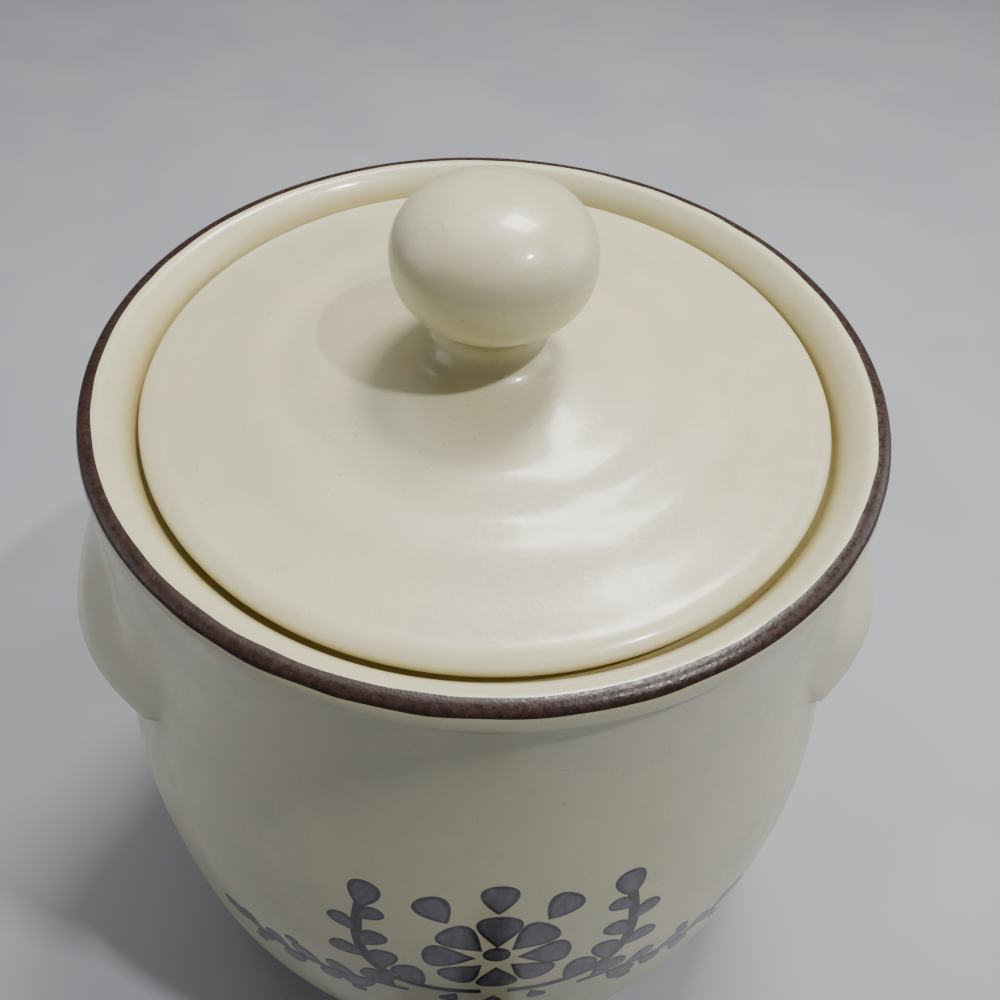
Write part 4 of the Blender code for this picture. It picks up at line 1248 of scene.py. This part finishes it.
@dataclass(frozen=True)
class Strokes:
    """One run of like brush strokes along a path, in millimetres and degrees."""

    count: int
    length: float
    half_width: float
    lean: float = -90.0
    fullness: float = 2.0
    curl: float = 0.0
    off_path: float = 0.0
    last_size: float = 1.0
    both_sides: bool = False
    unevenness: float = 0.05
    lift: float = 0.0
    seed: int = 1

    def inputs(self, outline: float) -> dict[str, Any]:
        """Put the run into metres and radians.

        Args:
            outline: Width of the dark edge.

        Returns:
            The inputs of the stroke tree.
        """
        return {"Count": self.count, "Length": self.length * MM, "Half Width": self.half_width * MM,
                "Fullness": self.fullness, "Curl": self.curl, "Lean": math.radians(self.lean),
                "Off Path": self.off_path * MM, "Last Size": self.last_size, "Unevenness": self.unevenness,
                "Both Sides": float(self.both_sides), "Outline": outline, "Seed": self.seed}


@dataclass
class Garland:
    """Painted garland on the front: a rosette between leafy sprays, and a vine with berries to each side."""

    form: WallForm
    reference_radius: float = 125 * MM
    lift: float = 0.07 * MM
    edge_thinning: float = 0.7
    sink: float = 0.3 * MM
    outline: float = 2.0 * MM
    stem_lift: float = 0.015 * MM
    rosette: Point = (0.0, 139.0)
    petals: Strokes = Strokes(8, 16.0, 6.6, fullness=2.2)
    eye: Strokes = Strokes(1, 8.0, 4.0, fullness=1.0, off_path=-4.0)
    buds: Strokes = Strokes(3, 13.0, 5.6, fullness=1.8)
    roots: Strokes = Strokes(3, 9.0, 3.0, fullness=2.4)
    spray_leaves: Strokes = Strokes(7, 15.5, 5.5, lean=40.0, fullness=1.7, curl=0.12, off_path=0.4,
                                    last_size=0.62, both_sides=True, unevenness=0.08, seed=5)
    vine_leaves: Strokes = Strokes(9, 14.0, 4.8, lean=38.0, fullness=1.6, curl=0.14, off_path=0.3,
                                   last_size=0.7, both_sides=True, unevenness=0.1, seed=9)
    berries: Strokes = Strokes(4, 5.6, 2.8, lean=90.0, fullness=1.0, off_path=10.5, both_sides=True,
                               unevenness=0.12, lift=0.03, seed=3)
    tip: Strokes = Strokes(1, 13.0, 5.0, lean=0.0, fullness=1.6, off_path=-0.6)
    spray: Corners = ((4.0, 113.5), (48.0, 112.0, 40), (40.0, 161.0))
    vine_span: Point = (26.0, 82.0)
    vine_level: float = 107.0
    vine_wave: float = 2.6
    vine_pitch: float = 10.5
    vine_start: float = 17.0
    stem_widths: Point = (1.8 * MM, 1.4 * MM)
    stem_start: float = 0.3
    stem_end: float = 0.5
    stem_edge: float = 0.8

    def stems(self, side: float) -> tuple[list[Point], list[Point]]:
        """Draw the spray that rises beside the rosette and the wavy vine.

        Args:
            side: 1 for the right, -1 for the left.

        Returns:
            The two paths.
        """
        vine = in_mm((x, self.vine_level + self.vine_wave * math.sin((x - self.vine_start) / self.vine_pitch))
                     for x in spread(*self.vine_span, 60))
        return [(side * x, y) for x, y in trace(self.spray)], [(side * x, y) for x, y in vine]

    def runs(self) -> Iterable[tuple[Mesh, float]]:
        """Lay out every run of strokes and every stem.

        Returns:
            Each one as a flat mesh with its lift.
        """
        plan = [(path_mesh(in_mm(arc(self.rosette, 5.8, 0.0, 315.0, 7)), True), self.petals),
                (path_mesh(in_mm(((0.0, 141.0), (1.0, 141.0)))), self.eye),
                (path_mesh(in_mm(arc(self.rosette, 23.5, 52.0, 128.0, 24))), self.buds),
                (path_mesh(in_mm(arc(self.rosette, 30.0, -112.0, -68.0, 24))), self.roots)]
        for side in (-1.0, 1.0):
            spray, vine = self.stems(side)
            for points, run in ((spray[9:37], self.spray_leaves), (spray[-2:], self.tip),
                                (vine[4:57], self.vine_leaves), (vine[4:57], self.berries),
                                (vine[-2:], self.tip)):
                plan.append((path_mesh(points), replace(run, lean=side * run.lean, curl=side * run.curl)))
        for path, run in plan:
            yield grow("brush_strokes", brush_strokes, path, run.inputs(self.outline)), run.lift * MM
        for side in (-1.0, 1.0):
            for line, width in zip(self.stems(side), self.stem_widths):
                yield grow("brush_stem", brush_stem, path_mesh(line), {
                    "Half Width": width, "Start": self.stem_start, "End Share": self.stem_end,
                    "Edge": self.stem_edge}), self.stem_lift

    def coat(self) -> Piece:
        """Wrap the flat strokes round the wall as thin closed coats of stain, with their edge values.

        Returns:
            The painting.
        """
        verts: list[Vector] = []
        faces: Faces = []
        marks: list[float] = []
        for flat, lift in self.runs():
            start = len(verts)
            count = len(flat.vertices)
            edge = [0.0] * count
            flat.attributes["edge"].data.foreach_get("value", edge)
            marks += edge + edge
            for layer in (1.0, 0.0):
                for vert, mark in zip(flat.vertices, edge):
                    z = vert.co.y
                    coat = self.sink + lift + self.lift * (1.0 - self.edge_thinning * mark)
                    angle = vert.co.x / self.reference_radius - math.pi / 2.0
                    verts.append(polar(self.form.radius(z) - self.sink + layer * coat, angle, z))
            rim: Counter[tuple[int, ...]] = Counter()
            for face in flat.polygons:
                corners = [start + i for i in face.vertices]
                faces += [tuple(corners), tuple(i + count for i in reversed(corners))]
                rim.update(tuple(sorted(pair)) for pair in zip(corners, corners[1:] + corners[:1]))
            faces += [(a, b, b + count, a + count) for (a, b), used in rim.items() if used == 1]
        piece = piece_from("painted_garland", verts, faces, 50.0)
        piece.data.attributes.new("edge", "FLOAT", "POINT").data.foreach_set("value", marks)
        return piece

    def dress(self) -> None:
        """Paint the garland."""
        finish_piece(self.coat(), Body.CROCK, SlateStain().build(), "cream_glaze")


# The tap


def grip_flutes(given: Term) -> Term:
    """Press upright flutes into a turned skirt about the Z axis.

    Args:
        given: The node that gives the tree's inputs.

    Returns:
        The fluted skirt.
    """
    tree = given.tree
    spot = add_node(tree, "ShaderNodeSeparateXYZ", {0: add_node(tree, "GeometryNodeInputPosition")})
    x, y, z = (spot[axis] for axis in range(3))
    radius = (x * x + y * y).apply("SQRT")
    turns = y.apply("ARCTAN2", x) / math.tau * given["Count"]
    away = (turns - turns.apply("FLOOR") - 0.5) * math.tau * radius / given["Count"]
    reach = (given["Cutter"] * given["Cutter"] - away * away).apply("MAXIMUM", 0.0).apply("SQRT")
    press = (reach - (given["Cutter"] - given["Depth"])).apply("MAXIMUM", 0.0)
    for value, start, end in ((z, given["High"], given["High"] - 1.0 * MM),
                              (radius, given["Skin"] - 0.4 * MM, given["Skin"])):
        press = press * add_node(tree, "ShaderNodeMapRange", {
            "Value": value, "From Min": start, "From Max": end}, interpolation_type="SMOOTHSTEP")
    outward = add_node(tree, "ShaderNodeCombineXYZ", {0: x / radius, 1: y / radius})
    shift = add_node(tree, "ShaderNodeVectorMath", {0: outward, "Scale": press * -1.0}, operation="SCALE")
    return add_node(tree, "GeometryNodeSetPosition", {"Geometry": given["Geometry"], "Offset": shift})


def wound_coil(given: Term) -> Term:
    """Wind a ridge or a wire about the Z axis.

    Args:
        given: The node that gives the tree's inputs.

    Returns:
        The coil.
    """
    tree = given.tree
    coil = add_node(tree, "GeometryNodeCurveSpiral", {
        "Resolution": 56, "Rotations": given["Turns"], "Start Radius": given["Radius"],
        "End Radius": given["Radius"], "Height": given["Length"]})
    ridge = add_node(tree, "GeometryNodeCurvePrimitiveCircle", {
        "Resolution": given["Sides"], "Radius": given["Section"]}, mode="RADIUS")
    upright = add_node(tree, "GeometryNodeSetCurveNormal", {0: coil}, mode="Z_UP")
    return add_node(tree, "GeometryNodeCurveToMesh", {
        "Curve": upright, "Profile Curve": ridge, "Fill Caps": True})


@dataclass
class Tap:
    """Self-closing tap moulded in dark brown plastic, with its washers, spring, valve and forked lever.

    The outlines are corners in millimetres, as trace draws them, about the barrel, the shank or the pin.
    """

    height: float = 46 * MM
    barrel_out: float = 157.05 * MM
    pin_level: float = 81.5 * MM
    segments: int = 96
    barrel_outline: Corners = (
        (0.0, 64.6), (11.8, 64.6), (12.2, 64.2), (12.2, 57.1), (13.0, 57.1), (13.35, 56.95), (13.5, 56.6),
        (13.5, 50.0), (13.5, 42.0), (13.5, 34.5), (13.5, 31.2, 8), (10.6, 29.9), (8.1, 28.7, 8), (8.1, 24.0),
        (8.1, 17.4), (8.2, 16.0, 4), (9.2, 14.8), (9.3, 14.3), (9.3, 13.35), (8.95, 13.0), (0.0, 13.0))
    arm_outline: Corners = (
        (0.0, 94.35), (9.5, 94.35), (10.0, 94.85), (10.0, 128.85), (16.6, 128.85), (17.0, 129.25),
        (17.0, 130.9), (17.0, 131.85, 4), (16.0, 131.85), (13.4, 131.85), (10.5, 131.85, 8), (10.5, 134.9),
        (10.5, 157.05), (0.0, 157.05))
    room_outline: Corners = ((0.0, 70.0), (10.0, 70.0), (10.0, 37.5), (4.5, 33.5), (4.5, 10.0), (0.0, 10.0))
    bore_outline: Corners = ((0.0, 90.0), (5.0, 90.0), (5.0, 157.05), (0.0, 157.05))
    thread_start: float = 95.15 * MM
    thread_length: float = 28.15 * MM
    thread_radius: float = 9.85 * MM
    thread_pitch: float = 1.9 * MM
    thread_ridge: float = 0.42 * MM
    spring_radius: float = 4.7 * MM
    spring_wire: float = 0.55 * MM
    spring_turns: float = 6.0
    stem_travel: float = 5.0 * MM
    bonnet_outline: Corners = (
        (12.5, 67.2), (8.8, 67.2), (8.8, 69.4), (5.6, 69.4), (5.6, 72.0), (3.3, 72.0), (3.3, 74.0),
        (3.5, 74.2), (12.9, 74.2), (15.1, 74.2, 8), (15.1, 72.0), (15.1, 71.4), (15.1, 71.1), (15.1, 70.8),
        (15.1, 70.5), (15.1, 70.2), (15.1, 69.9), (15.1, 66.0), (15.1, 62.0), (15.1, 58.6), (15.1, 57.9),
        (14.95, 57.55), (14.6, 57.4), (12.5, 57.4))
    bonnet_segments: int = 320
    cam_base: float = 7.0 * MM
    cam_rate: float = 5.0 * MM / math.radians(50.0)
    cam_turn: float = math.radians(56.0)
    lever_width: float = 13.0 * MM
    lever_length: float = 31.0 * MM
    lever_edge: float = 0.7 * MM
    arm_half: float = 3.75 * MM
    foot_top: float = 11 * MM
    arm_front: Corners = ((3.75, 19.0), (2.8, 29.0), (-2.8, 29.0), (-3.75, 19.0), (-3.75, 9.0),
                          (-6.0, 4.5, 8), (-6.0, 0.0), (-6.0, -7.0, 12), (-0.5, -7.0))
    paddle_outline: Corners = ((0.0, -3.4), (8.9, -3.4), (10.5, -3.4, 6), (10.5, -1.8), (10.5, 1.8),
                               (10.5, 3.4, 6), (8.9, 3.4), (5.775, 3.15), (0.0, 2.9))
    fork_slot: float = 6.8 * MM
    fork_outline: Corners = ((-40.0, -8.0), (40.0, -8.0), (40.0, 6.2), (-40.0, 6.2))
    pin_hole: Corners = ((0.0, -20.0), (1.8, -20.0), (1.8, 20.0), (0.0, 20.0))
    pin_outline: Corners = (
        (0.0, 7.6), (1.0, 7.55), (1.8, 7.4), (2.35, 7.15), (2.6, 6.9), (2.6, 6.8), (1.5, 6.8), (1.5, -6.8),
        (2.6, -6.8), (2.6, -6.9), (2.35, -7.15), (1.8, -7.4), (1.0, -7.55), (0.0, -7.6))
    washer_outline: Corners = (
        (10.4, 128.55), (17.1, 128.55), (17.35, 128.43), (17.5, 128.15), (17.5, 126.75), (17.35, 126.47),
        (17.1, 126.35), (10.4, 126.35))

    def on_barrel(self) -> Matrix:
        """Matrix from the barrel's own axis to its place."""
        return Matrix.Translation((0.0, -self.barrel_out, 0.0))

    def on_shank(self) -> Matrix:
        """Matrix from an axis that points out of the crock to the shank's place."""
        return Matrix.Translation((0.0, 0.0, self.height)) @ Matrix.Rotation(math.radians(90.0), 4, "X")

    def on_pin(self) -> Matrix:
        """Matrix from an axis along the lever's pin to its place."""
        home = Matrix.Translation((0.0, -self.barrel_out, self.pin_level))
        return home @ Matrix.Rotation(math.radians(90.0), 4, "Y")

    def body(self) -> Piece:
        """Build the barrel, nozzle, arm, flange and hollow shank in one.

        Returns:
            The tap's body.
        """
        barrel = lathe("tap_barrel", trace(self.barrel_outline), self.segments, self.on_barrel())
        room = lathe("room", trace(self.room_outline), self.segments, self.on_barrel())
        arm = lathe("arm", trace(self.arm_outline), self.segments, self.on_shank())
        bore = lathe("bore", trace(self.bore_outline), self.segments, self.on_shank())
        return join_solid(join_solid(barrel, "UNION", [arm]), "DIFFERENCE", [room, bore])

    def coil(self, name: str, place: Matrix, sharp: float, **sizes: float) -> Piece:
        """Wind a ridge or a wire.

        Args:
            name: The object's name.
            place: Where the coil starts and which way it goes.
            sharp: Edges that turn by more degrees than this stay crisp.
            **sizes: The coil tree's inputs.

        Returns:
            The coil.
        """
        mesh = grow("wound_coil", wound_coil, path_mesh([(0.0, 0.0), (MM, 0.0)]), sizes)
        mesh.transform(place)
        return link_piece(name, mesh, sharp)

    def thread(self) -> Piece:
        """Wind the thread on the part of the shank that the nut runs on.

        Returns:
            The thread.
        """
        place = self.on_shank() @ Matrix.Translation((0.0, 0.0, self.thread_start))
        return self.coil("shank_thread", place, 30.0, Turns=self.thread_length / self.thread_pitch, Sides=4,
                         Radius=self.thread_radius, Length=self.thread_length, Section=self.thread_ridge)

    def spring(self) -> Piece:
        """Wind the closing spring.

        Returns:
            The spring.
        """
        low, high = (corner[2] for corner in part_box("return_spring"))
        place = self.on_barrel() @ Matrix.Translation((0.0, 0.0, low + self.spring_wire))
        piece = self.coil("closing_spring", place, 60.0, Turns=self.spring_turns, Radius=self.spring_radius,
                          Length=high - low - 2.0 * self.spring_wire, Section=self.spring_wire, Sides=12)
        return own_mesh(piece)

    def bonnet(self) -> Piece:
        """Build the fluted screw cap.

        Returns:
            The cap.
        """
        turned = lathe("plain_cap", trace(self.bonnet_outline), self.bonnet_segments, Matrix.Identity(4))
        mesh = grow("grip_flutes", grip_flutes, turned.data.copy(), {
            "Count": 16, "Skin": 15.1 * MM, "Cutter": 1.6 * MM, "Depth": 0.7 * MM, "High": 71.2 * MM})
        bpy.data.objects.remove(turned)
        mesh.transform(self.on_barrel())
        return link_piece("fluted_bonnet", mesh, 40.0)

    def lever_side(self) -> list[Point]:
        """Draw the lever's side view: involute cam foot, arm and heel.

        Returns:
            Points as (forward, up) from the pin.
        """
        points = []
        for turn in spread(0.0, self.cam_turn, 20):
            depth = self.cam_base + self.cam_rate * turn
            points.append((depth * math.sin(turn) + self.cam_rate * math.cos(turn),
                           -depth * math.cos(turn) + self.cam_rate * math.sin(turn)))
        nose = points[-1]
        points += bend(nose, (nose[0], nose[1] + self.arm_half), (self.arm_half, self.foot_top), 12)
        return points + trace(self.arm_front)

    def prism(self, name: str, side: Sequence[Point], width: float) -> Piece:
        """Build a solid from its side view.

        Args:
            name: The object's name.
            side: Points as (forward, up) from the pin.
            width: How wide it is.

        Returns:
            The solid.
        """
        verts: list[Vector] = []
        near, far = (add_ring(verts, [Vector((x, -self.barrel_out - forward, self.pin_level + up))
                                      for forward, up in side]) for x in (-width / 2.0, width / 2.0))
        return piece_from(name, verts, [tuple(near), tuple(reversed(far)), *skin([near, far])])

    def lever(self) -> Piece:
        """Build the forked lever with its cam foot and finger paddle.

        Returns:
            The lever.
        """
        arm = self.prism("finger_lever", self.lever_side(), self.lever_width)
        soften = arm.modifiers.new("soften", "BEVEL")
        soften.width = self.lever_edge
        soften.segments = 3
        soften.limit_method = "ANGLE"
        soften.angle_limit = math.radians(50.0)
        spot = Matrix.Translation((0.0, -self.barrel_out, self.pin_level + self.lever_length))
        facing = spot @ Matrix.Rotation(math.radians(90.0), 4, "X")
        paddle = lathe("paddle", trace(self.paddle_outline), self.segments, facing)
        slot = self.prism("slot", trace(self.fork_outline), self.fork_slot)
        hole = lathe("hole", trace(self.pin_hole), 32, self.on_pin())
        return join_solid(join_solid(arm, "UNION", [paddle]), "DIFFERENCE", [slot, hole])

    def dress(self) -> None:
        """Build the tap's visible pieces and give every other node of it a finish."""
        plastic = Moulded("gloss_brown_abs", "#2A1C19", "#33231F", 0.17, coat=0.5).build()
        rubber = Moulded("black_nitrile_rubber", "#1B1B1C", "#242425", 0.62, skin_size=0.8 * MM).build()
        silicone = Moulded("grey_silicone", "#B4B4AE", "#A8A8A3", 0.42, ior=1.42).build()
        nylon = Moulded("natural_nylon", "#DDDCD3", "#D2D0C6", 0.38, ior=1.53).build()
        steel = Stainless().build()
        finish_piece(self.body(), Body.CROCK, plastic, "dark_brown_plastic", "tap_body")
        finish_piece(self.thread(), Body.CROCK, plastic, "dark_brown_plastic")
        finish_piece(self.bonnet(), Body.CROCK, plastic, "dark_brown_plastic", "bonnet")
        finish_piece(self.lever(), Body.LEVER, plastic, "dark_brown_plastic", "tap_lever")
        pin = lathe("hinge_pin", trace(self.pin_outline), 48, self.on_pin(), 45.0)
        finish_piece(pin, Body.LEVER, steel, "stainless_steel", "lever_pin")
        washer = lathe("rubber_washer", trace(self.washer_outline), self.segments, self.on_shank(), 50.0)
        finish_piece(washer, Body.CROCK, rubber, "black_rubber", "outer_washer")
        finish_piece(self.spring(), Body.CROCK, steel, "stainless_steel", "return_spring")
        for node, material in {"inner_washer": rubber, "bonnet_seal": rubber, "stem_seal": rubber,
                               "valve_cup": silicone, "shank_nut": nylon, "valve_stem": nylon,
                               "slip_washer": steel, "gland_washer": steel}.items():
            for place in bpy.data.objects[node].material_slots:
                place.material = material
            LOG.info("%s: frame node in %s", node, material.name)


# The studio


@dataclass(frozen=True)
class SoftBox:
    """A rectangular studio lamp: its place, width and height, power in watts, colour and where it faces."""

    name: str
    place: tuple[float, float, float]
    size: Point
    power: float
    tone: str
    aim: tuple[float, float, float] = (0.0, 0.0, 0.2)

    def hang(self) -> None:
        """Put the lamp into the scene."""
        lamp = bpy.data.lights.new(self.name, "AREA")
        lamp.shape = "RECTANGLE"
        lamp.size, lamp.size_y = self.size
        lamp.energy = self.power
        lamp.color = colour(self.tone)[:3]
        thing = link_object(self.name, lamp)
        thing.location = self.place
        thing.rotation_euler = (Vector(self.aim) - Vector(self.place)).to_track_quat("-Z", "Y").to_euler()


@dataclass
class Studio:
    """Pale floor, soft lights and the camera at the photograph's angle."""

    camera_place: tuple[float, float, float] = (-0.01483, -0.20493, 0.43234)
    camera_turn: tuple[float, float, float] = (41.042, -2.263, -2.980)
    lens: float = 34.54
    sensor: float = 36.0
    floor_size: float = 6.0
    floor_level: float = -0.2 * MM
    world: str = "#9A9CA2"
    world_strength: float = 0.14
    lamps: tuple[SoftBox, ...] = (
        SoftBox("key", (0.25, 0.42, 1.15), (0.32, 0.24), 10.0, "#FFFEFA"),
        SoftBox("glint", (0.49, -0.24, 1.18), (0.06, 0.03), 6.5, "#FFFFFF"),
        SoftBox("overhead", (0.0, 0.5, 1.7), (1.5, 0.8), 8.9, "#FFFEFA"),
        SoftBox("right_fill", (1.3, 0.3, 0.75), (0.8, 0.8), 5.2, "#F8FAFF"),
        SoftBox("left_fill", (-1.3, 0.1, 0.7), (0.8, 0.8), 2.8, "#F6F8FF"),
        SoftBox("front_fill", (0.1, -1.5, 0.9), (1.2, 0.8), 0.3, "#FFFFFF", (0.0, 0.0, 0.1)))

    def set_up(self) -> None:
        """Build the floor, the lights, the world and the camera."""
        half = self.floor_size / 2.0
        floor = piece_from("floor", [Vector((x * half, y * half, self.floor_level)) for x, y in (
            (-1, -1), (1, -1), (1, 1), (-1, 1))], [(0, 1, 2, 3)])
        floor.data.materials.append(PaleFloor().build())
        for lamp in self.lamps:
            lamp.hang()
        world = bpy.data.worlds.new("soft_grey")
        bpy.context.scene.world = world
        world.use_nodes = True
        back = world.node_tree.nodes["Background"]
        back.inputs[0].default_value = colour(self.world)
        back.inputs[1].default_value = self.world_strength
        lens = bpy.data.cameras.new("camera")
        lens.lens = self.lens
        lens.sensor_width = self.sensor
        lens.clip_start = 5 * MM
        camera = link_object("camera", lens)
        camera.location = self.camera_place
        camera.rotation_euler = [math.radians(a) for a in self.camera_turn]
        bpy.context.scene.camera = camera


def main() -> None:
    """Build and dress every sub-assembly in order."""
    crock = Crock()
    crock.dress()
    Garland(crock.form).dress()
    Lid().dress()
    Tap().dress()
    Studio().set_up()


if __name__ == "__main__":
    main()
